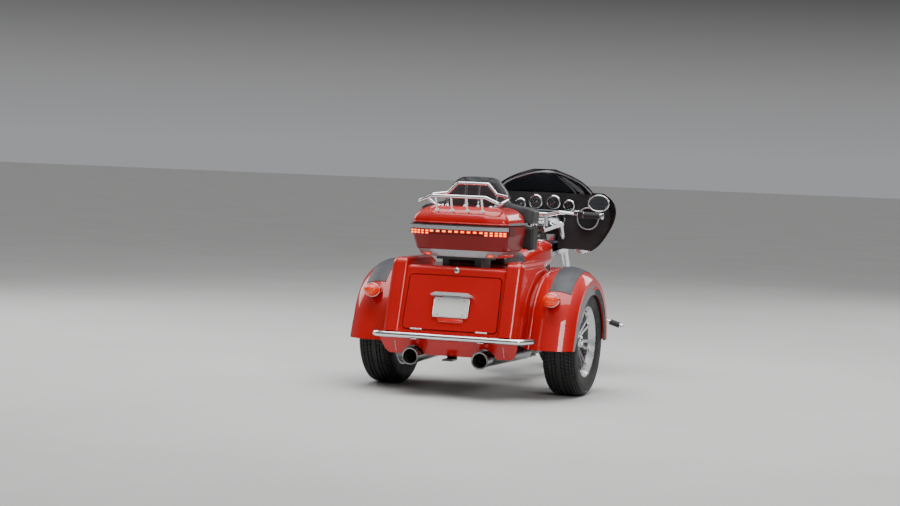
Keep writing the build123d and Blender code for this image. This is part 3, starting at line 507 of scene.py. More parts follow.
def pad_grey():
    """Slate pads and arch bands; a band is lightened to grey as a painted reflection of the road, turns
    black ahead of the axle and has a red strip.
    """
    made = Finish("dark_pad", (0.040, 0.044, 0.051), 0.5)
    made.cloud((0.056, 0.061, 0.069), 10).roughness(12, 0.42, 0.6).grain(620, 0.30)
    axes = made.axes()
    on_band = made.calculate("GREATER_THAN", made.calculate("ABSOLUTE", axes["X"]), ARCH_BAND_X)
    ahead = made.between(axes["Y"], 0, 1, BAND_AXLE, BAND_BLACK)
    # Painted reflection: the arch bands are slate vinyl like the pads, and are lightened to the grey of the
    # road they mirror.
    made.tint((0.22, 0.23, 0.25), made.calculate("MULTIPLY", on_band, 0.95))
    made.tint(LINING, made.calculate("MULTIPLY", on_band, ahead))
    strip = on_band
    for axis, middle, reach in RED_STRIP:
        strip = made.calculate("MULTIPLY", strip, made.calculate("COMPARE", axes[axis], middle, reach))
    return made.tint((0.62, 0.012, 0.006), strip).material


def engine_black():
    """Wrinkle black on the barrels, with bright rims where the fins' edges are machined."""
    made = Finish("engine_black", (0.014, 0.014, 0.014), 0.55)
    made.cloud((0.03, 0.03, 0.03), 18).grain(700, 0.4)
    facing = made.node("NewGeometry").outputs["True Normal"]
    front = made.calculate("GREATER_THAN", made.axes()["Y"], CRANK.y)
    for sign, barrel in ((1, front), (-1, made.calculate("SUBTRACT", 1.0, front))):
        line = Vector((0, sign * math.sin(V_HALF), math.cos(V_HALF)))
        along = made.node("VectorMath", {0: facing}, {1: line}, operation="DOT_PRODUCT").outputs["Value"]
        edge = made.calculate("LESS_THAN", made.calculate("ABSOLUTE", along), 0.3)
        made.tint((0.52, 0.53, 0.55), made.calculate("MULTIPLY", edge, barrel))
    return made.material


CRANK = at(0, 195, 360)
V_HALF = math.radians(22.5)
ENGINE_BLACK = engine_black()
PAD = pad_grey()
print("finishes", len(bpy.data.materials))

# %% [markdown]
# ## Dress the construction
# Each construction piece names a slot in the record. One table turns slots into finishes, so that
# no piece is forgotten. Pieces that change their shape below are replaced there.

# %% Finish for each slot
FINISH_OF_SLOT = {
    "tyre": RUBBER, "cast_alloy": ALLOY, "red_paint": RED, "dark_red_paint": DARK_RED,
    "black_paint": BLACK_PAINT, "dark_pad": PAD, "amber_lens": AMBER, "lamp_red": LAMP_BAND,
    "plate_white": PLATE, "chrome": CHROME, "black_steel": BLACK_STEEL, "belt_rubber": BELT,
    "engine_alloy": ENGINE_ALLOY, "engine_black": ENGINE_BLACK, "seat_leather": LEATHER,
    "black_plastic": PLASTIC, "smoked_screen": SCREEN,
}
# The mufflers lie in shade, so their chrome is darkened as painted shade; a brushed hood is duller than the
# rest of the chrome, and hollow pieces are lined.
FINISH_OF_NODE = {"mufflers": SHADED_CHROME, "plate_lamp": SATIN_CHROME, "trike_body": BODY_RED,
                  "box_lid": LID_RED}
for part in frame["record"]["subparts"]:
    node = frame["nodes"][part["node"]]
    node.data.materials.clear()
    node.data.materials.append(FINISH_OF_NODE.get(part["node"]) or FINISH_OF_SLOT[part["material_slot"]])
print("dressed", len(frame["nodes"]), "pieces")

# %% [markdown]
# ## Studio
# A pale floor without a wall, a pale sky that is darker near the horizon, and three soft lights.
# The dark band is there for the chrome: polished metal only shows what surrounds it.


# %% Floor, sky and lights
def floor():
    """A wide pale floor."""
    shape = bmesh.new()
    bmesh.ops.create_grid(shape, x_segments=1, y_segments=1, size=80)
    mesh = bpy.data.meshes.new("floor")
    shape.to_mesh(mesh)
    mesh.materials.append(Finish("floor", (0.62, 0.62, 0.61), 0.85).cloud((0.58, 0.58, 0.57), 0.8)
                          .roughness(3, 0.75, 0.95).material)
    made = bpy.data.objects.new("floor", mesh)
    bpy.context.scene.collection.objects.link(made)
    made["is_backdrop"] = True


def sky():
    """A world that is pale above, greyer at the horizon."""
    world = bpy.data.worlds.new("sky")
    bpy.context.scene.world = world
    world.use_nodes = True
    tree = world.node_tree
    place = tree.nodes.new("ShaderNodeTexCoord")
    height = tree.nodes.new("ShaderNodeSeparateXYZ")
    ramp = tree.nodes.new("ShaderNodeValToRGB")
    tree.links.new(place.outputs["Generated"], height.inputs[0])
    tree.links.new(height.outputs["Z"], ramp.inputs[0])
    tree.links.new(ramp.outputs[0], tree.nodes["Background"].inputs["Color"])
    stops = ramp.color_ramp.elements
    stops[0].position, stops[0].color = 0.0, (0.62, 0.63, 0.65, 1)
    stops[1].position, stops[1].color = 0.92, (1.5, 1.5, 1.5, 1)
    for position, grey in ((0.03, 0.50), (0.08, 0.14), (0.22, 0.12), (0.50, 0.26), (0.74, 0.75)):
        stops.new(position).color = (grey, grey, grey * 1.02, 1)
    tree.nodes["Background"].inputs["Strength"].default_value = 0.55


LIGHTS = [
    # name, place, width, power
    ("overhead", (0.5, -1.0, 6.0), 6.0, 460),
    ("behind_camera", (7.0, -9.0, 5.5), 3.0, 330),
    ("far_side", (-6.0, 1.5, 4.0), 4.0, 180),
    ("front_side", (4.0, 8.0, 5.0), 4.0, 260),
]
floor()
sky()
for name, place, width, power in LIGHTS:
    lamp = bpy.data.lights.new(name, "AREA")
    lamp.size = width
    lamp.energy = power
    holder = bpy.data.objects.new(name, lamp)
    holder.location = place
    holder.rotation_euler = (Vector((0, 0, 0.6)) - Vector(place)).to_track_quat("-Z", "Y").to_euler()
    bpy.context.scene.collection.objects.link(holder)
print("lights", len(LIGHTS))

# %% [markdown]
# ## Tyres
# A real tyre is a smooth carcass with rubber blocks moulded on it. The carcass is a section spun
# about the axle. The ribs that run round are one inset each, the blocks between them are inset one
# by one, and a turn that grows outwards leans the cross grooves.


# %% Tyre with a moulded tread
def tyre_section(half, radius, rim, depth):
    """The carcass section (across, from the axle) from the left bead to the right, closed at the rim."""
    middle = (radius + rim) / 2
    base = radius - depth
    right = [(share * half, base) for share in (0.05, 0.14, 0.19, 0.36, 0.41, 0.62)]
    for degrees in (22, 38, 55, 72, 90):
        turn = math.radians(degrees)
        right.append((half * (0.62 + 0.375 * math.sin(turn)), middle + (base - middle) * math.cos(turn)))
    for degrees in (20, 45, 62, 66, 80):
        turn = math.radians(degrees)
        ridge = 0.0018 if degrees in (45, 62) else 0
        across_it = half * (0.995 - 0.195 * (1 - math.cos(turn))) - 0.002 + ridge
        right.append((across_it, middle - (middle - rim) * math.sin(turn)))
    right.append((half * 0.78, rim))
    return [(-x, r) for x, r in reversed(right)] + right


def away(place, centre):
    """How far a place is from an axle through a centre."""
    return math.hypot(place.y - centre.y, place.z - centre.z)


def moulded_tyre(node, body, rim, steps, depth, lean):
    """A tyre in the place of a construction tyre: carcass, round ribs and leaned blocks."""
    low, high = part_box(node)
    centre = (low + high) / 2
    half, radius = (high.x - low.x) / 2, (high.z - low.z) / 2
    shape = turned(tyre_section(half, radius, rim, depth), centre, (1, 0, 0), steps, closed=True)
    crown = [f for f in shape.faces if away(f.calc_center_median(), centre) > radius - depth * 4.5]

    def strip(low_share, high_share):
        """Faces of the tread between two places across it."""
        return [f for f in crown if low_share < abs(f.calc_center_median().x - centre.x) / half < high_share]

    centre_rib = strip(-1, 0.05) + strip(0.06, 0.13)
    blocks = strip(0.22, 0.35) + strip(0.45, 0.6) + strip(0.64, 0.93)
    bmesh.ops.inset_region(shape, faces=centre_rib, thickness=0.0008, depth=depth, use_even_offset=True,
                           use_boundary=True)
    bmesh.ops.inset_individual(shape, faces=blocks, thickness=0.0016, depth=depth * 0.97,
                               use_even_offset=True)
    for vert in shape.verts:
        out = abs(vert.co.x - centre.x) / half
        turn = Matrix.Rotation(lean * out * out, 3, "X")
        vert.co = centre + turn @ (vert.co - centre)
    make_piece("tread_" + node, body, [(shape, RUBBER)], replaces=(node,), sharp_degrees=30)


TYRES = (  # node, body, rim radius, steps round, tread depth, lean of the grooves
    ("tyre_front", "front_wheel", 0.212, 96, 0.005, 0.10),
    ("tyre_rear_left", "rear_wheel_left", 0.208, 90, 0.007, 0.08),
    ("tyre_rear_right", "rear_wheel_right", 0.208, 90, 0.007, 0.08),
)
for tyre in TYRES:
    moulded_tyre(*tyre)

# %% [markdown]
# ## Padded seat and backrest
# Foam under a tight cover swells between its seams. The construction solid is shrunk a little,
# remeshed and blown up as cloth, with a limit on how far each point may go. The seams come last,
# as grooves pressed into the skin with a cord of piping in them.


# %% Stuffing
VOXEL, SHRINK, SWELL_LIMIT = 0.006, 0.006, 0.010
SEAM_WIDTH, SEAM_DEPTH, PIPING = 0.014, 0.005, 0.0022


def apply_modifiers(piece):
    """Makes the piece's modified shape its own mesh."""
    graph = bpy.context.evaluated_depsgraph_get()
    mesh = bpy.data.meshes.new_from_object(piece.evaluated_get(graph))
    piece.modifiers.clear()
    piece.data = mesh


def stuffed(name, node):
    """A cushion in the place of a construction solid: remeshed, blown up, held near its shape."""
    shape = bmesh.new()
    shape.from_mesh(frame["nodes"][node].data)
    bmesh.ops.remove_doubles(shape, verts=shape.verts, dist=1e-5)
    mesh = bpy.data.meshes.new(name)
    shape.to_mesh(mesh)
    piece = bpy.data.objects.new(name, mesh)
    bpy.context.scene.collection.objects.link(piece)
    remesh = piece.modifiers.new("skin", "REMESH")
    remesh.mode = "VOXEL"
    remesh.voxel_size = VOXEL
    ease = piece.modifiers.new("ease", "SMOOTH")
    ease.iterations = 4
    inward = piece.modifiers.new("shrink", "DISPLACE")
    inward.strength = -SHRINK
    inward.mid_level = 0
    apply_modifiers(piece)
    blow_up(piece)
    return piece


def blow_up(piece):
    """Fills the skin with air for a moment, and keeps each point within the swelling limit."""
    rest = [v.co.copy() for v in piece.data.vertices]
    cloth = piece.modifiers.new("cloth", "CLOTH")
    cloth.settings.use_pressure = True
    cloth.settings.uniform_pressure_force = 4
    cloth.settings.effector_weights.gravity = 0
    cloth.settings.quality = 4
    scene = bpy.context.scene
    for number in range(1, 21):
        scene.frame_set(number)
    apply_modifiers(piece)
    for vert, start in zip(piece.data.vertices, rest):
        move = vert.co - start
        if move.length > SWELL_LIMIT:
            vert.co = start + move.normalized() * SWELL_LIMIT
    scene.frame_set(1)


def press_seams(piece, seams):
    """Presses a groove along each seam, a list of places on the skin."""
    shape = bmesh.new()
    shape.from_mesh(piece.data)
    bmesh.ops.smooth_vert(shape, verts=shape.verts, factor=0.5, use_axis_x=True, use_axis_y=True,
                          use_axis_z=True)
    shape.normal_update()
    for vert in shape.verts:
        near = min(distance_to_line(vert.co, seam) for seam in seams)
        if near < SEAM_WIDTH:
            vert.co -= vert.normal * SEAM_DEPTH * (1 - near / SEAM_WIDTH) ** 2
    shape.to_mesh(piece.data)


def distance_to_line(place, line):
    """How far a place is from a chain of places."""
    best = 1.0
    for start, end in zip(line, line[1:]):
        along = end - start
        share = max(0.0, min(1.0, (place - start).dot(along) / along.length_squared))
        best = min(best, (place - start - along * share).length)
    return best


def laid_on(piece, places, direction):
    """Each place moved along a direction until it meets the piece's skin."""
    tree = BVHTree.FromObject(piece, bpy.context.evaluated_depsgraph_get())
    found = [tree.ray_cast(place - direction * 0.5, direction)[0] for place in places]
    return [place for place in found if place is not None]


def sampled(start, end, count):
    """Places evenly spread on a straight line."""
    return [start.lerp(end, step / (count - 1)) for step in range(count)]


def seam_lines(piece, crosses, loops, direction):
    """Seams laid on the skin along a direction: straight ones, and loops with a count for each side."""
    lines = [laid_on(piece, sampled(start, end, 15), direction) for start, end in crosses]
    for corners, count in loops:
        places = []
        for start, end in zip(corners, corners[1:] + corners[:1]):
            places += sampled(start, end, count)[:-1]
        lines.append(laid_on(piece, places + places[:1], direction))
    return [line for line in lines if len(line) > 2]


def cushion(node, crosses, loops, direction, sink):
    """A stuffed and stitched cushion in the place of a node, and the piping sunk in its seams."""
    piece = stuffed("stitched_" + node, node)
    seams = seam_lines(piece, crosses, loops, direction)
    press_seams(piece, seams)
    smooth = piece.modifiers.new("smooth", "SUBSURF")
    smooth.levels = smooth.render_levels = 1
    piece.data.materials.clear()
    piece.data.materials.append(LEATHER)
    piece.data.shade_smooth()
    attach(piece, "chassis")
    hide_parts(node)
    print(piece.name, len(piece.data.polygons), "faces before smoothing")
    piping = [(tube([place + direction * sink for place in line], PIPING), THREAD) for line in seams]
    make_piece(node + "_piping", "chassis", piping)


# %% Seat with a rider's bucket and a passenger's pad
SEAT_CROSSES = (  # y, half width
    (-150, 92), (-205, 118), (-260, 136), (-450, 150), (-510, 152), (-570, 152), (-630, 150), (-690, 142),
)
SEAT_LOOPS = (
    [(-80, -95), (-112, -205), (-146, -300), (146, -300), (112, -205), (80, -95)],
    [(-156, -410), (-160, -560), (-150, -735), (150, -735), (160, -560), (156, -410)],
)
cushion("seat", [(at(-half, y, 800), at(half, y, 800)) for y, half in SEAT_CROSSES],
        [([at(x, y, 800) for x, y in loop], 12) for loop in SEAT_LOOPS], Vector((0, 0, -1)), 0.0022)

# %% Backrest
BACK_LOOP = [(-150, 945), (-172, 1080), (-160, 1190), (-105, 1262), (105, 1262), (160, 1190), (172, 1080),
             (150, 945)]
cushion("backrest", [(at(-140, -700, z), at(140, -700, z)) for z in (1010, 1075, 1140)],
        [([at(x, -700, z) for x, z in BACK_LOOP], 10)], Vector((0, -1, 0)), 0.002)

# %% [markdown]
# ## The tail
# The rear face leans, so everything on it is laid out flat, in the face's own plane, and moved
# there by one matrix: x runs across, y up the face, z out of it. The load door carries the plate.

# %% Tail places
FACE = Matrix.Translation(at(0, -1288, 350)) @ Matrix.Rotation(math.pi / 2 - math.atan(TAIL_SLOPE), 4, "X")
OUT_OF_FACE = FACE.to_3x3() @ Vector((0, 0, 1))
AHEAD, REARWARDS, DOWN = Vector((0, 1, 0)), Vector((0, -1, 0)), Vector((0, 0, -1))


def on_face(shape):
    """A shape laid out flat, moved to the leaning rear face."""
    return placed(shape, FACE)


def bolt(place, out, radius=0.005, finish=None):
    """A domed screw head at a place, its axis pointing out."""
    profile = [(-0.002, 0), (-0.002, radius), (0.0012, radius), (0.003, radius * 0.72), (0.0036, 0)]
    return turned(profile, place, out, 12), finish or CHROME


# %% Seal, lock and hinges of the load door
(foot, foot_y), (top, top_y) = (291, 41), (283, 373)  # half width and height, at the foot and the top
door_corners = [at(x, y, -7) for x, y in ((-foot, foot_y), (foot, foot_y), (top, top_y), (-top, top_y))]
LOCK = [(-0.002, 0), (-0.002, 0.017), (0.003, 0.017), (0.006, 0.0135), (0.013, 0.0125), (0.0145, 0.010),
        (0.0145, 0)]
tail = [
    (on_face(rim(door_corners, 0.024, 0.0027)), GRIP_RUBBER),
    (turned(LOCK, FACE @ at(0, 407.5, 0), OUT_OF_FACE, 32), CHROME),
    (on_face(block(at(-1.5, 402, 14), at(1.5, 413, 15), 0.0002)), BLACK_STEEL),
]
HINGE = at(0, -1277.3, 391)
KNUCKLE = 22
for x in (-200, 200):
    for start in (x - 36, x - 12, x + 12):
        tail.append((rod(HINGE + at(start, 0, 0), HINGE + at(start + KNUCKLE, 0, 0), 0.0045), CHROME))
make_piece("door_seal_and_lock", "chassis", tail)

# %% Plate's edge, reflector, lamp's lens, door's lining and the rim round the plate
door_parts = [
    (on_face(rim([at(x, y, 19.5) for x, y in oblong(-101.5, 101.5, 126, 228)], 0.007, 0.0016)), PLATE),
    # Painted light: the reflector is no lamp, but it glows with the red lens finish.
    (on_face(block(at(-74, 93.5, 11.5), at(74, 114.5, 14.5), 0.001)), RED_LENS),
    (on_face(block(at(-60, 241.5, 20), at(60, 243, 40), 0.0005)), GLASS),
    (on_face(block(at(-270, 62, -20.5), at(270, 352, -17.8), 0.001)), PLASTIC),
    (on_face(rim([at(x, y, 17.5) for x, y in oblong(-107.5, 107.5, 120, 234)], 0.009, 0.0026)), CHROME),
]
door_parts += [bolt(FACE @ at(x, y, 19), OUT_OF_FACE, 0.0045) for x, y in oblong(-78, 78, 134, 220)]
make_piece("plate_trim", "trunk_door", door_parts)

# %% [markdown]
# ## Turn signals
# Each lamp is an egg let into the fender: an amber lens behind, a painted case in front, and a
# bright ring where they meet. One squashed ball is cut in half for each part.

# %% Lens, case and ring
SIGNAL = at(555, -1092, 590)


def half_egg(radius, squash, keep_rear):
    """Half of a squashed ball about the signal's place, closed where it is cut."""
    shape = ball(SIGNAL, radius, squash)
    whole = shape.verts[:] + shape.edges[:] + shape.faces[:]
    cut = bmesh.ops.bisect_plane(shape, geom=whole, plane_co=SIGNAL, plane_no=(0, 1, 0), dist=1e-6,
                                 clear_outer=keep_rear, clear_inner=not keep_rear)
    bmesh.ops.edgeloop_fill(shape, edges=[e for e in cut["geom_cut"] if isinstance(e, bmesh.types.BMEdge)])
    bmesh.ops.recalc_face_normals(shape, faces=shape.faces)
    return shape


signal = [
    (half_egg(0.0385, (1.3, 1.2, 1), True), AMBER),
    (half_egg(0.0398, (1.3, 3.2, 1), False), RED),
    (oval(SIGNAL, 0.0500, 0.0385, 36, 0.0026), CHROME),
]
make_piece("signal_lamps", "chassis", both_sides(signal), replaces=("turn_signals",))

# %% [markdown]
# ## Exhaust tips
# A polished tip shows a sooty sleeve inside and the end of the core pipe deep in it. All of it is
# round, so it could be a stack of cylinders. One section spun about the pipe's axis gives the rolled
# lip and the wall's thickness in one go. The right side is made, and then mirrored.


# %% Sleeves, cores and clamps
def ring(start, end, inner, outer, place, axis, steps=32):
    """A plain ring between two places along an axis."""
    section = [(start, inner), (end, inner), (end, outer), (start, outer)]
    return turned(section, place, axis, steps, closed=True)


TIP = at(213, -1335, 235)
SLEEVE = [(0.004, 0.0449), (0.094, 0.0402), (0.094, 0), (0.090, 0), (0.090, 0.0385), (0.004, 0.0434)]
TIP_LIP = [(0, 0.0465), (0.0015, 0.0435), (0.005, 0.0435), (0.005, 0.0465)]
tips = [
    (turned(SLEEVE, TIP, AHEAD, 40, closed=True), SOOT_AND_SHADE),
    (ring(0.046, 0.089, 0.017, 0.020, TIP, AHEAD, 28), SOOT_AND_SHADE),
    (turned(TIP_LIP, TIP, AHEAD, 40, closed=True), CHROME),
]
tips += [(ring(0, 0.014, 0.0275, 0.0305, place, (-0.24, 1, 0.02)), BLACK_STEEL)
         for place in (at(250, -560, 232), at(219, -436, 234.7))]
make_piece("tip_sleeves", "chassis", both_sides(tips))

# %% [markdown]
# ## Top box lamps and trim
# The light bar is a dark lens band with nine lamps in one row between two double rows. Each lamp is
# laid on the band by a ray from behind, and turned to the skin it meets: set by hand, some would
# float and others sink, because the band is curved.


# %% Rays onto the construction
def skin_of(node):
    """A tree for rays onto one construction piece."""
    return BVHTree.FromObject(frame["nodes"][node], bpy.context.evaluated_depsgraph_get())


def meet(tree, start, direction):
    """Where a ray meets the skin, and the way the skin faces there."""
    return tree.ray_cast(Vector(start), Vector(direction))[:2]


def tile_on(tree, start, direction, width, height, thick, proud, round_edge=0.001):
    """A small rounded block laid on the skin that a ray meets, its width level."""
    place, normal = meet(tree, start, direction)
    across_skin = Vector((0, 0, 1)).cross(normal).normalized()
    turn = Matrix((across_skin, normal.cross(across_skin), normal)).transposed().to_4x4()
    size = Vector((width, height, thick)) / 2
    middle = place + normal * (proud - thick / 2)
    return placed(block(-size, size, round_edge), Matrix.Translation(middle) @ turn)


# %% Lamps in the light bar
LAMP_PITCH = 0.038
UPPER_ROW, LOWER_ROW = 0.965, 0.9515
LAMP_COLUMNS = (0.182, 0.211, 0.238, 0.262, 0.284)
BEHIND = -1.4
bar_skin = skin_of("box_light_bar")


def lit_tile(x, z, width, height):
    """A lit lamp on the light bar, brighter and yellower in its middle."""
    start = (x, BEHIND, z)
    core = tile_on(bar_skin, start, AHEAD, width * 0.62, height * 0.42, 0.004, 0.0028, 0.0008)
    return [(tile_on(bar_skin, start, AHEAD, width, height, 0.004, 0.0022), LIT_LAMP), (core, LAMP_CORE)]


lamps = []
for index in range(-4, 5):
    lamps += lit_tile(index * LAMP_PITCH, UPPER_ROW, 0.024, 0.0135)
for side in (-1, 1):
    for x in LAMP_COLUMNS:
        for z in (UPPER_ROW, LOWER_ROW):
            lamps += lit_tile(side * x, z, 0.0205, 0.0115)
make_piece("lit_lamps", "chassis", lamps)


# %% Tray, small lamps and seal of the box
def lower_skin(node, top, grow, thick):
    """The outer skin of a construction piece below a height, lifted off it and given a thickness."""
    shape = bmesh.new()
    shape.from_mesh(frame["nodes"][node].data)
    bmesh.ops.remove_doubles(shape, verts=shape.verts, dist=1e-5)
    whole = shape.verts[:] + shape.edges[:] + shape.faces[:]
    bmesh.ops.bisect_plane(shape, geom=whole, plane_co=(0, 0, top), plane_no=(0, 0, 1), clear_outer=True)
    low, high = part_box(node)
    middle = Vector(((low.x + high.x) / 2, (low.y + high.y) / 2, high.z))
    inner = [f for f in shape.faces if f.normal.dot(f.calc_center_median() - middle) < 0]
    bmesh.ops.delete(shape, geom=inner, context="FACES")
    shape.normal_update()
    for vert in shape.verts:
        vert.co += vert.normal * grow
    bmesh.ops.solidify(shape, geom=shape.faces[:], thickness=-thick)
    bmesh.ops.recalc_face_normals(shape, faces=shape.faces)
    return shape


def across(places):
    """The places on the other side of the vehicle, in the opposite order."""
    return [Vector((-p.x, p.y, p.z)) for p in reversed(places)]


TRAY_TOP, TRAY_LAMP = 0.858, 0.832
base_skin = skin_of("box_base")
box_parts = [(lower_skin("box_base", TRAY_TOP, 0.0012, 0.001), SILVER)]
for side in (-1, 1):
    for x, y, aim, size, finish in (
        (0.191, BEHIND, AHEAD, (0.034, 0.013, 0.010, 0.0075), LIT_LAMP),
        (0.191, BEHIND, AHEAD, (0.044, 0.020, 0.006, 0.0035), PLASTIC),
        (0.5, -1.02, (-side, 0, 0), (0.150, 0.013, 0.008, 0.006), RED_LENS),
    ):
        box_parts.append((tile_on(base_skin, (side * x, y, TRAY_LAMP), aim, *size), finish))
make_piece("box_tray_and_lamps", "chassis", box_parts)
seal_corners = [at(180, -1190.6, 1004), at(294, -1144.6, 1004), at(319, -852.6, 1004)]
seal_corners += across(seal_corners)
make_piece("box_seal", "chassis", [(rim(seal_corners, 0.03, 0.0024), GRIP_RUBBER)])

# %% Latch and hinges of the lid, feet of the rack
lid_skin = skin_of("box_lid")
lid_parts = [(tile_on(lid_skin, (0.5, -1.00, 1.017), (-1, 0, 0), 0.150, 0.009, 0.006, 0.003), CHROME)]
for y in (-1050, -900):
    lid_parts.append((rod(at(-325, y - 20, 1006.5), at(-325, y + 20, 1006.5), 0.0042), CHROME))
make_piece("lid_trim", "box_lid", lid_parts)
FOOT = [(-0.002, 0), (-0.002, 0.013), (0.003, 0.012), (0.006, 0.009), (0.006, 0)]
rack_feet = []
for x, y in ((0.140, -1.150), (0.047, -1.150), (0.040, -0.934), (0.150, -0.940), (0.150, -1.030)):
    for side in (-1, 1):
        rack_feet.append((turned(FOOT, *meet(lid_skin, (side * x, y, 1.4), DOWN), 20), CHROME))
make_piece("rack_feet", "box_lid", rack_feet)

# %% [markdown]
# ## Bands, lip and latch strips of the top box
# The box carries bands that follow its plan. A plan line is worked out from the same four numbers
# as the shell: its half widths at the front and the rear, and where it ends. A ribbon is that line
# pushed upwards and given a thickness.

# %% Plan lines and ribbons
BOX_FRONT = -0.858
CORNER_EASE = (0.018, 0.027, 0.033)


def plan_line(z, front_half, rear_half, rear, grow=0.0):
    """Places round the box at a height, from the front left corner round the rear to the right."""
    corners = [Vector((rear_half * 0.62, rear - grow, z)),
               Vector((rear_half + grow, rear + 0.046 - grow * 0.5, z)),
               Vector((front_half + grow, BOX_FRONT, z))]
    befores = [Vector((-1, 1, 1)) * corners[0]] + corners[:1]
    places = []
    for before, corner, after, ease in zip(befores, corners, corners[1:], CORNER_EASE):
        places += eased(before, corner, after, ease, 4)
    places.append(corners[-1])
    return across(places) + places


def ribbon(places, height, thick):
    """A standing band along places, its thickness set inwards and outwards evenly."""
    shape = bmesh.new()
    verts = [shape.verts.new(place) for place in places]
    edges = [shape.edges.new(pair) for pair in zip(verts, verts[1:])]
    made = bmesh.ops.extrude_edge_only(shape, edges=edges)["geom"]
    raised = [v for v in made if isinstance(v, bmesh.types.BMVert)]
    bmesh.ops.translate(shape, verts=raised, vec=(0, 0, height))
    bmesh.ops.solidify(shape, geom=shape.faces[:], thickness=thick)
    bmesh.ops.recalc_face_normals(shape, faces=shape.faces)
    return shape


# %% Bands on the lower box
band_line = plan_line(0.9765, 0.330, 0.306, -1.202, 0.0012)[3:-3]
band_parts = [
    (ribbon(band_line, 0.0215, 0.004), SILVER),
    (tube([p + at(0, 0, 23.5) for p in band_line], 0.0022, smooth=False), PLASTIC),
]
tray_line = plan_line(0.826, 0.2695, 0.2433, -1.1470)
for side in (-1, 1):
    around = [p for p in tray_line if p.x * side > 0.212 and p.y < -0.94]
    around.append(at(side * 265.5, -955, 826))
    band_parts.append((tube(sorted(around, key=lambda p: p.y), 0.0058, smooth=False), RED_LENS))
make_piece("box_bands", "chassis", band_parts)

# %% Lip and side strips of the lid
lid_line = [(tube(plan_line(1.0145, 0.3185, 0.2925, -1.1885), 0.0052, smooth=False), RED)]
for side in (-1, 1):
    strip = sampled(at(side * 294.8, -1128, 1011.5), at(side * 318, -866, 1011.5), 3)
    lid_line.append((ribbon(strip, 0.0125, 0.012), CHROME))
make_piece("lid_lip", "box_lid", lid_line)

# %% Rails under the pods, and grilles on them
rails, pods = [], []
for side in (-1, 1):
    rails.append((rod(at(side * 328, -852, 858), at(side * 328, -716, 858), 0.0075), CHROME))
    rails.append((side_block(side, (322, -800, 858), (334, -780, 868), 0.002), CHROME))
    for row in range(11):
        z = 884 + row * 9.8
        pods.append((rod(at(side * 306, -737.5, z), at(side * 350, -737.5, z), 0.0022, 8), GRIP_RUBBER))
    pod_corners = [at(side * x, -738, z) for x, z in oblong(303, 353, 876, 990)]
    pods.append((rim(pod_corners, 0.010, 0.0026), CHROME))
make_piece("pod_rails", "chassis", rails)
make_piece("pod_grilles", "chassis", pods)

# %% [markdown]
# ## Small parts of the tail
# Each end of the bumper is closed by a black cap, and the valance has an upright seam on each side.
# A seam could be cut as a groove. Short silver strips laid on the skin, a painted highlight of the
# seam's edge, read the same from a few steps away, and the construction's own mesh stays as it is.

# %% Bumper caps and seams
BUMPER_CAP = [(-0.010, 0), (-0.010, 0.0182), (0.001, 0.0182), (0.006, 0.0150), (0.009, 0.0090), (0.0095, 0)]
small_tail = [(turned(BUMPER_CAP, at(side * 486, -1195, 352), (side * 0.3560, 0.9345, 0), 24), BLACK_STEEL)
              for side in (-1, 1)]
valance_skin = skin_of("trike_body")
for x in (-0.332, 0.332):
    for z in (0.262, 0.284, 0.306):
        # Painted highlight: each dash is a silver strip for the light line along a valance seam.
        dash = tile_on(valance_skin, (x, -1.5, z), AHEAD, 0.0045, 0.022, 0.003, 0.0012, 0.0005)
        small_tail.append((dash, SILVER))
make_piece("tail_details", "chassis", small_tail)

# %% [markdown]
# ## Wheels
# Each cast wheel gets a domed centre cap, five nuts round it and a valve in the rim. The front
# wheel's brake discs are drilled, and bolted to their carriers. Everything sits on circles about the
# hub, so one function gives the places. A drilled hole is a thin dark disc of painted shade: cutting
# it would mean a change to the construction's mesh, and hundreds of faces that nobody sees.


# %% Caps, nuts and valves
REAR_AXLE, HALF_TRACK = at(0, -660, 325), 577
FRONT_HUB = at(0, 1015, 320)


def circle_of(count, radius, first=0.0):
    """Pairs (y, z) spread evenly on a circle."""
    turns = [first + 2 * math.pi * step / count for step in range(count)]
    return [(radius * math.cos(turn), radius * math.sin(turn)) for turn in turns]


def valve(start, end):
    """A rubber valve stem."""
    return rod(start, end, 0.0042, 12, 0.0032), GRIP_RUBBER


WHEEL_CAP = [(0.044, 0), (0.044, 0.0292), (0.055, 0.0292), (0.060, 0.0265), (0.0635, 0.0190),
             (0.0645, 0.0100), (0.0648, 0)]
for side, body in ((1, "rear_wheel_right"), (-1, "rear_wheel_left")):
    centre = REAR_AXLE + at(side * HALF_TRACK, 0, 0)
    parts = [(turned(WHEEL_CAP, centre, (side, 0, 0), 40), CHROME)]
    for y, z in circle_of(5, 37.2, 0.3):
        parts.append((rod(centre + at(side * 38, y, z), centre + at(side * 52, y, z), 0.0062, 6), CHROME))
    parts.append(valve(centre + at(side * 62, 0, 191), centre + at(side * 80, 0, 176)))
    make_piece(body + "_details", body, parts)

# %% Drilled discs of the front wheel
HOLE_RINGS = ((110, 0.0), (122, 0.11), (134, 0.22))  # radius in millimetres, turn of the first hole
disc_parts = [valve(FRONT_HUB + at(38, 0, 197), FRONT_HUB + at(52, 0, 182))]
for side in (-1, 1):
    for y, z in circle_of(5, 96, 0.2):
        disc_parts.append(bolt(FRONT_HUB + at(side * 75.5, y, z), (side, 0, 0), 0.0062))
    # Painted shade: each hole is a thin dark disc on the brake disc's face.
    for radius, first in HOLE_RINGS:
        for y, z in circle_of(18, radius, first):
            place = FRONT_HUB + at(side * 75.2, y, z)
            disc_parts.append((rod(place, place + at(side * 0.6, 0, 0), 0.0034, 12), SOOT_AND_SHADE))
make_piece("front_wheel_details", "front_wheel", disc_parts)

# %% [markdown]
# ## Fork and lamps in front
# Rubber seals close the sliders, caps hide the axle's ends, and each lamp gets a bright ring and a
# fluted lens. The lamp bodies are polished, so they serve as reflectors behind the glass. The flutes
# could be modelled one by one. A ribbed relief in the glass bends the light in the same way.

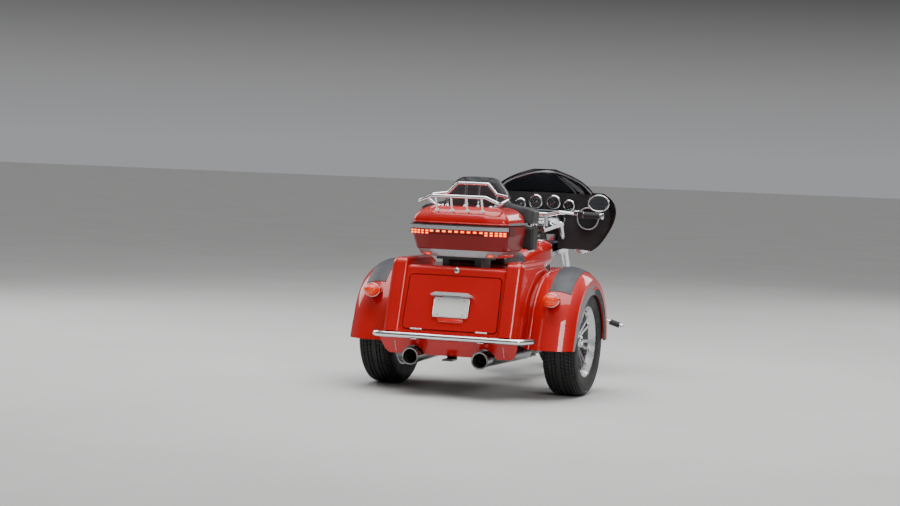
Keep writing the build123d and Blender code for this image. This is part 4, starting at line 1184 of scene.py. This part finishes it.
# %% Seals, caps and bolts of the fork
STEER_UP = Vector((0, -0.52992, 0.84805))
SEAL = [(0.322, 0.0242), (0.322, 0.0322), (0.334, 0.0322), (0.338, 0.0285), (0.346, 0.0262), (0.346, 0.0242)]
AXLE_CAP = [(0.028, 0), (0.028, 0.017), (0.036, 0.017), (0.039, 0.013), (0.040, 0)]
fork_parts = []
for side in (-1, 1):
    foot = FRONT_HUB + at(side * 118, 0, 0)
    fork_parts.append((turned(SEAL, foot, STEER_UP, 32, closed=True), GRIP_RUBBER))
    fork_parts.append((turned(AXLE_CAP, foot, (side, 0, 0), 28), CHROME))
    fork_parts += [bolt(at(side * 92, y, z), (side, 0, 0), 0.0065) for y, z in ((872, 362), (898, 408))]
make_piece("fork_details", "fork", fork_parts)


# %% Lenses and rings
def lamp_glass(centre, radius, front):
    """A bright ring and a domed lens in front of a lamp body."""
    ring_line = [(-0.020, radius + 0.001), (-0.020, radius + 0.0045), (-0.006, radius + 0.0045),
                 (-0.001, radius - 0.001), (-0.003, radius - 0.006), (-0.010, radius - 0.004)]
    lens_line = [(-0.009, 0), (-0.009, radius - 0.0045), (-0.004, radius - 0.0065), (0.002, radius * 0.72),
                 (0.006, radius * 0.38), (0.007, 0)]
    face = centre + AHEAD * front
    return [(turned(ring_line, face, AHEAD, 56, closed=True), CHROME),
            (turned(lens_line, face, AHEAD, 56), GLASS)]


lamp_parts = lamp_glass(at(0, 776, 930), 0.095, 0.121)
for side in (-1, 1):
    lamp_parts += lamp_glass(at(side * 200, 812, 830), 0.0525, 0.086)
make_piece("lamp_lenses", "fork", lamp_parts)

# %% [markdown]
# ## Mirrors, instruments and screen
# Seen from behind, the fairing is a dashboard: four dials, two loudspeakers and a display, each let
# into its own housing. The mirrors are ellipses with a bright rim. Marks, numbers and needles are
# small solids and not a picture, so they stay sharp up close and go along with the exported mesh.

# %% Mirrors
mirror_parts = []
for side in (-1, 1):
    centre = at(side * 391, 523, 1125)
    mirror_parts.append((oval(centre + at(0, 1, 0), 0.0685, 0.0525, 48, 0.0050, sides=4), CHROME))
    face = turned([(0, 0), (0, 0.064), (0.002, 0.065), (0.0024, 0)], Vector((0, 0, 0)), REARWARDS, 48)
    squash = Matrix.Diagonal((1, 1, 0.755, 1))
    mirror_parts.append((placed(face, Matrix.Translation(centre) @ squash), MIRROR))
make_piece("mirror_faces", "fork", mirror_parts)

# %% Dials
# A dial is swept from its lowest to its highest mark, in degrees from upright.
SWEEP_START, SWEEP = -125, 250
HOUSING_Y, FACE_DEPTH = 606, 26.6


def disc(near, far, radius, far_radius=None):
    """The profile of a flat disc between two depths."""
    return [(near, 0), (near, radius), (far, far_radius or radius), (far, 0)]


def dial(x, z, radius, marks):
    """A dial in its housing: bezel, face, marks, needle, hub and glass, seen from behind."""
    centre = at(x, HOUSING_Y, z)
    face = Matrix.Translation(centre + at(0, FACE_DEPTH, 0))
    bezel = [(0.003, radius - 0.008), (0.004, radius - 0.003), (0.001, radius + 0.001),
             (-0.003, radius + 0.001), (-0.003, radius - 0.007)]
    parts = [(turned(bezel, centre, REARWARDS, 48, closed=True), CHROME),
             (turned(disc(-0.029, -0.0265, radius - 0.0062), centre, REARWARDS, 40), DIAL)]
    end = radius - 0.0095
    for step in range(marks):
        turn = Matrix.Rotation(math.radians(SWEEP_START + SWEEP * step / (marks - 1)), 4, "Y")
        start = end - (0.007 if step % 5 == 0 else 0.004)
        mark = block(Vector((-0.0006, -0.0007, start)), Vector((0.0006, 0.0005, end)))
        parts.append((placed(mark, face @ turn), DIAL_MARK))
    needle = block(Vector((-0.0011, -0.0030, -0.006)), Vector((0.0011, -0.0018, radius * 0.62)), 0.0004)
    at_rest = Matrix.Rotation(math.radians(SWEEP_START), 4, "Y")
    parts.append((placed(needle, face @ at_rest), AMBER))
    parts.append((turned(disc(-0.026, -0.020, 0.0065, 0.0055), centre, REARWARDS, 24), CHROME))
    glass = [(-0.004, 0), (-0.004, radius - 0.0068), (-0.0025, radius - 0.0068), (-0.0015, 0)]
    parts.append((turned(glass, centre, REARWARDS, 40), GLASS))
    return parts


def numeral(number, place, height):
    """A plain number for a dial, upright and facing the rider."""
    curve = bpy.data.curves.new("numeral", "FONT")
    curve.body = str(number)
    curve.align_x, curve.align_y = "CENTER", "CENTER"
    curve.size = height
    curve.extrude = 0.0003
    holder = bpy.data.objects.new("numeral", curve)
    shape = bmesh.new()
    shape.from_mesh(bpy.data.meshes.new_from_object(holder))
    bpy.data.objects.remove(holder)
    return placed(shape, Matrix.Translation(place) @ Matrix.Rotation(math.pi / 2, 4, "X"))


instruments = []
for x, unit in ((-62, 20), (62, 1)):
    instruments += dial(x, 1118, 0.046, 31)
    for step in range(7):
        turn = math.radians(SWEEP_START + SWEEP * step / 6)
        place = at(x, 632, 1118) + Vector((math.sin(turn), 0, math.cos(turn))) * 0.0225
        instruments.append((numeral(step * unit, place, 0.0075), DIAL_MARK))
for x in (-168, 168):
    instruments += dial(x, 1100, 0.038, 16)


# %% Loudspeakers and display
def speaker(x, z, radius):
    """A round grille of rings and spokes in its housing."""
    centre = at(x, HOUSING_Y, z)
    bezel = [(0.003, radius - 0.007), (0.004, radius - 0.003), (0.001, radius + 0.001),
             (-0.004, radius + 0.001), (-0.004, radius - 0.007)]
    cone = [(-0.026, 0), (-0.026, radius - 0.0065), (-0.020, radius - 0.0065), (-0.023, radius * 0.5),
            (-0.018, 0)]
    parts = [(turned(bezel, centre, REARWARDS, 56, closed=True), SILVER),
             (turned(cone, centre, REARWARDS, 40), GRIP_RUBBER)]
    for share in (0.16, 0.32, 0.48, 0.64, 0.80):
        size = (radius - 0.007) * share
        wire = [(-0.006, size - 0.0016), (-0.0035, size), (-0.006, size + 0.0016)]
        parts.append((turned(wire, centre, REARWARDS, 48, closed=True), PLASTIC))
    for y, z in circle_of(12, 1.0):
        out, inside = Vector((y, 0, z)), centre + at(0, 6, 0)
        parts.append((rod(inside + out * 0.006, inside + out * (radius - 0.006), 0.0012, 6), PLASTIC))
    return parts


for side in (-1, 1):
    instruments += speaker(side * 300, 1020, 0.074)
instruments.append((block(at(-86, 597.5, 1014), at(86, 601, 1062), 0.002), BLUE_GLASS))
instruments.append((rim([at(x, 599, z) for x, z in oblong(-89, 89, 1011, 1064)], 0.006, 0.0022), SILVER))
for x in range(-50, 51, 20):
    instruments.append((block(at(x - 7, 597, 994), at(x + 7, 610, 1003), 0.0015), GRIP_RUBBER))
KNOB = [(-0.002, 0), (-0.002, 0.0095), (0.010, 0.0085), (0.011, 0)]
for x in (-80, 80):
    instruments.append((turned(KNOB, at(x, 600, 998.5), REARWARDS, 28), SILVER))
dash_skin = skin_of("fairing_inner")
for x, z in ((0.405, 0.935), (0.440, 1.060), (0.330, 0.868), (0.395, 1.150), (0.225, 1.160), (0.150, 0.940)):
    for side in (-1, 1):
        place, normal = meet(dash_skin, (side * x, 0.3, z), AHEAD)
        if place is not None:
            instruments.append(bolt(place, normal, 0.0055, BLACK_STEEL))
make_piece("instruments", "fork", instruments)

# %% Light edge of the screen
screen_skin = skin_of("windscreen")
EDGE = [(0.326, 1.184), (0.296, 1.216), (0.262, 1.246), (0.216, 1.270), (0.160, 1.291), (0.110, 1.308),
        (0.060, 1.317), (0, 1.319)]
edge_line = EDGE + [(-x, z) for x, z in EDGE[-2::-1]]
edge_places = [meet(screen_skin, (x, 0.3, z), AHEAD)[0] for x, z in edge_line]
edge_places = [place + at(0, -1, 0) for place in edge_places if place is not None]
make_piece("screen_band", "fork", [(tube(edge_places, 0.0070, sides=4), SILVER)])

# %% [markdown]
# ## Bars and controls
# Ribbed grips sit between bright bands, and a switch housing and a fluid reservoir stand inboard
# of each, where the levers are hinged. A grip's ribs could be a bump in its rubber. They show in its
# outline, so they are points of the section that is spun.


# %% Grips, switches and reservoirs
def ribbed(first, pitch, wide, count, low, high):
    """Points of a ribbed sleeve: each rib rises from a low radius to a high one."""
    return [point for step in range(count)
            for point in ((first + step * pitch, low), (first + wide + step * pitch, high))]


GRIP = [(0.004, 0.0185), (0.004, 0.0215), (0.009, 0.0215),
        *ribbed(0.010, 0.0082, 0.0055, 13, 0.0196, 0.0208), (0.1165, 0.0196), (0.1165, 0.0185)]
GRIP_CAP = [(0.120, 0), (0.120, 0.0190), (0.120, 0.0205), (0.1335, 0.0205), (0.136, 0.017), (0.137, 0)]
bar_parts = []
for side in (-1, 1):
    start, line = at(side * 345, 342, 1052), at(side * 129, -25, -4)
    bar_parts.append((turned(GRIP, start, line, 32, closed=True), GRIP_RUBBER))
    bar_parts.append((turned(GRIP_CAP, start, line, 32), CHROME))
    bar_parts.append((side_block(side, (304, 326, 1029), (342, 366, 1075), 0.007, 3), BLACK_PAINT))
    for z in (1042, 1054, 1066):
        bar_parts.append((side_block(side, (313, 323, z - 4), (333, 328, z + 4), 0.0015), GRIP_RUBBER))
    bar_parts.append((side_block(side, (268, 352, 1046), (310, 396, 1076), 0.006, 3), CHROME))
    bar_parts += [bolt(at(side * x, y, 1076), (0, 0, 1), 0.004) for x, y in ((280, 366), (298, 384))]
make_piece("grips_and_switches", "fork", bar_parts)

# %% [markdown]
# ## Engine
# Covers are held by rings of domed screws, the pushrod tubes have collars, the spark plugs rubber
# caps, and the exhaust runs under clamped shields. The screws of a cover sit on the corners of its
# outline, drawn in by a share, and the heads are laid out from the crank along each cylinder's line.


# %% Cover screws and round plates
def shrunk(points, share):
    """Points (y, z) drawn towards their middle."""
    mid_y = sum(y for y, z in points) / len(points)
    mid_z = sum(z for y, z in points) / len(points)
    return [(mid_y + (y - mid_y) * share, mid_z + (z - mid_z) * share) for y, z in points]


PRIMARY = [(300, 330), (280, 425), (180, 450), (-20, 445), (-95, 400), (-95, 310), (-20, 262), (220, 262)]
CAM = [(280, 320), (250, 400), (190, 430), (130, 400), (110, 320), (130, 250), (250, 250)]
CAM_FACE, PRIMARY_FACE = 128, -175
engine_parts = [bolt(at(CAM_FACE, y, z), (1, 0, 0), 0.0058) for y, z in shrunk(CAM, 0.78)]
engine_parts += [bolt(at(PRIMARY_FACE, y, z), (-1, 0, 0), 0.0058) for y, z in shrunk(PRIMARY, 0.84)]
ROUND_PLATE = [(-0.001, 0), (-0.001, 1.0), (0.0035, 0.985), (0.0060, 0.93), (0.0060, 0.80), (0.0045, 0.78),
               (0.0045, 0)]
PLATES = (  # face, y, z, radius, screws
    (CAM_FACE, 190, 338, 0.038, 2), (PRIMARY_FACE, -8, 352, 0.058, 4), (PRIMARY_FACE, 205, 352, 0.034, 2),
)
for x, y, z, radius, screws in PLATES:
    centre, out = at(x, y, z), Vector((math.copysign(1, x), 0, 0))
    plate = [(along, share * radius) for along, share in ROUND_PLATE]
    engine_parts.append((turned(plate, centre, out, 48), CHROME))
    for dy, dz in circle_of(screws, radius * 0.86, 0.6):
        engine_parts.append(bolt(centre + out * 0.0058 + Vector((0, dy, dz)), out, 0.0036, BLACK_STEEL))

# %% Heads, pushrods and air cleaner
for lean in (V_HALF, -V_HALF):
    line = Vector((0, math.sin(lean), math.cos(lean)))
    square = Vector((0, math.cos(lean), -math.sin(lean)))
    for x, offset in oblong(-46, 46, -0.0515, 0.0515):
        engine_parts.append(bolt(CRANK + line * 0.278 + square * offset + at(x, 0, 0), line, 0.0042))
    plug = CRANK + line * 0.246 + at(-66, 0, 0)
    engine_parts.append((rod(plug, plug + at(-34, 0, 10), 0.0095, 16, 0.0075), GRIP_RUBBER))
    engine_parts.append((rod(plug + at(-30, 0, 9), plug + at(-46, 0, 14), 0.0062, 12), GRIP_RUBBER))
for low, high in ((at(90, 230, 440), at(80, 262, 640)), (at(90, 165, 440), at(80, 128, 640))):
    for along in (0.026, 0.118):
        engine_parts.append((ring(along, along + 0.010, 0.0098, 0.0128, low, high - low, 24), CHROME))
AIR = at(165, 200, 575)
AIR_RING = [(-0.0005, 0.050), (0.003, 0.051), (0.004, 0.0535), (0.003, 0.056), (-0.0005, 0.057)]
AIR_INSERT = [(-0.0005, 0), (-0.0005, 0.0485), (0.0016, 0.0475), (0.0020, 0)]
engine_parts.append((turned(AIR_RING, AIR, (1, 0, 0), 56, closed=True), CHROME))
engine_parts.append((turned(AIR_INSERT, AIR, (1, 0, 0), 48), BLACK_PAINT))
engine_parts.append(bolt(AIR + at(1.5, 0, 0), (1, 0, 0), 0.010))
make_piece("engine_details", "chassis", engine_parts)

# %% Oil filter and shield clamps
FILTER = [(0, 0), (0, 0.036), (0.010, 0.038), (0.054, 0.038), (0.060, 0.034), (0.063, 0.026), (0.063, 0)]
exhaust_parts = [(turned(FILTER, at(20, 326, 306), at(0, 62, -10), 40), CHROME)]
PIPES = (  # start, end, where its clamps are
    (at(169, 220, 232), at(196, -300, 232), (0.18, 0.52)),
    (at(152, 365, 300), at(110, 372, 560), (0.25, 0.72)),
)
for start, end, shares in PIPES:
    line = (end - start).normalized()
    screw = line.cross(Vector((1, 0, 0.2))).normalized() if abs(line.z) > 0.5 else DOWN
    for share in shares:
        place = start.lerp(end, share)
        exhaust_parts.append((ring(0, 0.012, 0.0218, 0.0242, place, line), BLACK_STEEL))
        middle = place + line * 0.006
        exhaust_parts.append((rod(middle + screw * 0.022, middle + screw * 0.031, 0.004, 6), CHROME))
make_piece("filter_and_clamps", "chassis", exhaust_parts)

# %% [markdown]
# ## Tank, boards and pegs
# Two caps sit in the tank, and ribbed rubber covers everything that a boot rests on. The tank is
# curved, so rays find its skin and the way it faces. The boards are flat: plain blocks will do, with
# their edges rounded a little so that they catch the light.

# %% Tank caps and console
ABOVE = 1.2
TANK_CAP = [(-0.003, 0), (-0.003, 0.032), (0.0025, 0.032), (0.0055, 0.0285), (0.0065, 0.020), (0.0068, 0)]
tank_skin, console_skin = skin_of("fuel_tank"), skin_of("tank_console")
tank_parts = [(turned(TANK_CAP, *meet(tank_skin, (x, 0.245, ABOVE), DOWN), 40), CHROME)
              for x in (-0.085, 0.085)]
for y, radius in ((0.305, 0.026), (0.215, 0.013)):
    place, normal = meet(console_skin, (0, y, ABOVE), DOWN)
    knob = [(-0.002, 0), (-0.002, radius), (0.004, radius), (0.006, radius * 0.86), (0.0062, 0)]
    tank_parts.append((turned(knob, place, normal, 40), CHROME))
    tank_parts.append((turned(disc(0.0060, 0.0068, radius * 0.78, radius * 0.76), place, normal, 36), DIAL))
for x in (-0.038, 0.038):
    line = [meet(console_skin, (x, y, ABOVE), DOWN)[0] for y in (0.035, 0.09, 0.15, 0.22, 0.29, 0.35, 0.375)]
    tank_parts.append((tube([p for p in line if p is not None], 0.0022), CHROME))
make_piece("tank_details", "chassis", tank_parts)

# %% Rubbers of boards, pedals and pegs
BOARDS = (  # low x, high x, low y, high y, top, ribs
    (196, 294, 196, 440, 278, 9), (196, 288, -244, -116, 388, 6),
)
PEG = [(0.004, 0.0165), (0.004, 0.0195), *ribbed(0.008, 0.009, 0.005, 7, 0.0178, 0.0192), (0.072, 0.0185),
       (0.072, 0.0165)]
rubbers = []
for side in (-1, 1):
    pads = []
    for low_x, high_x, low_y, high_y, top, count in BOARDS:
        pads.append(((low_x, low_y, top - 1), (high_x, high_y, top + 2.5), 0.0015))
        for step in range(count):
            x = low_x + (high_x - low_x) * (step + 0.5) / count
            pads.append(((x - 2.6, low_y + 7, top + 1), (x + 2.6, high_y - 7, top + 5), 0.0012))
    pads.append(((217, 427, 361), (263, 453, 364), 0.001))
    pads += [((220, y - 2, 363), (260, y + 2, 366), 0.001) for y in (432, 440, 448)]
    rubbers += [(side_block(side, *pad), GRIP_RUBBER) for pad in pads]
    peg = turned(PEG, at(side * 484, 575, 354), at(side * 76, 0, -23), 28, closed=True)
    rubbers.append((peg, GRIP_RUBBER))
make_piece("foot_rubbers", "chassis", rubbers)

# %% [markdown]
# ## Size of the dressed model
# The size of the dressed model is printed.

# %% Size of the dressed model
low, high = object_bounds()
print("dressed box", [round(v, 3) for v in (*low, *high)])
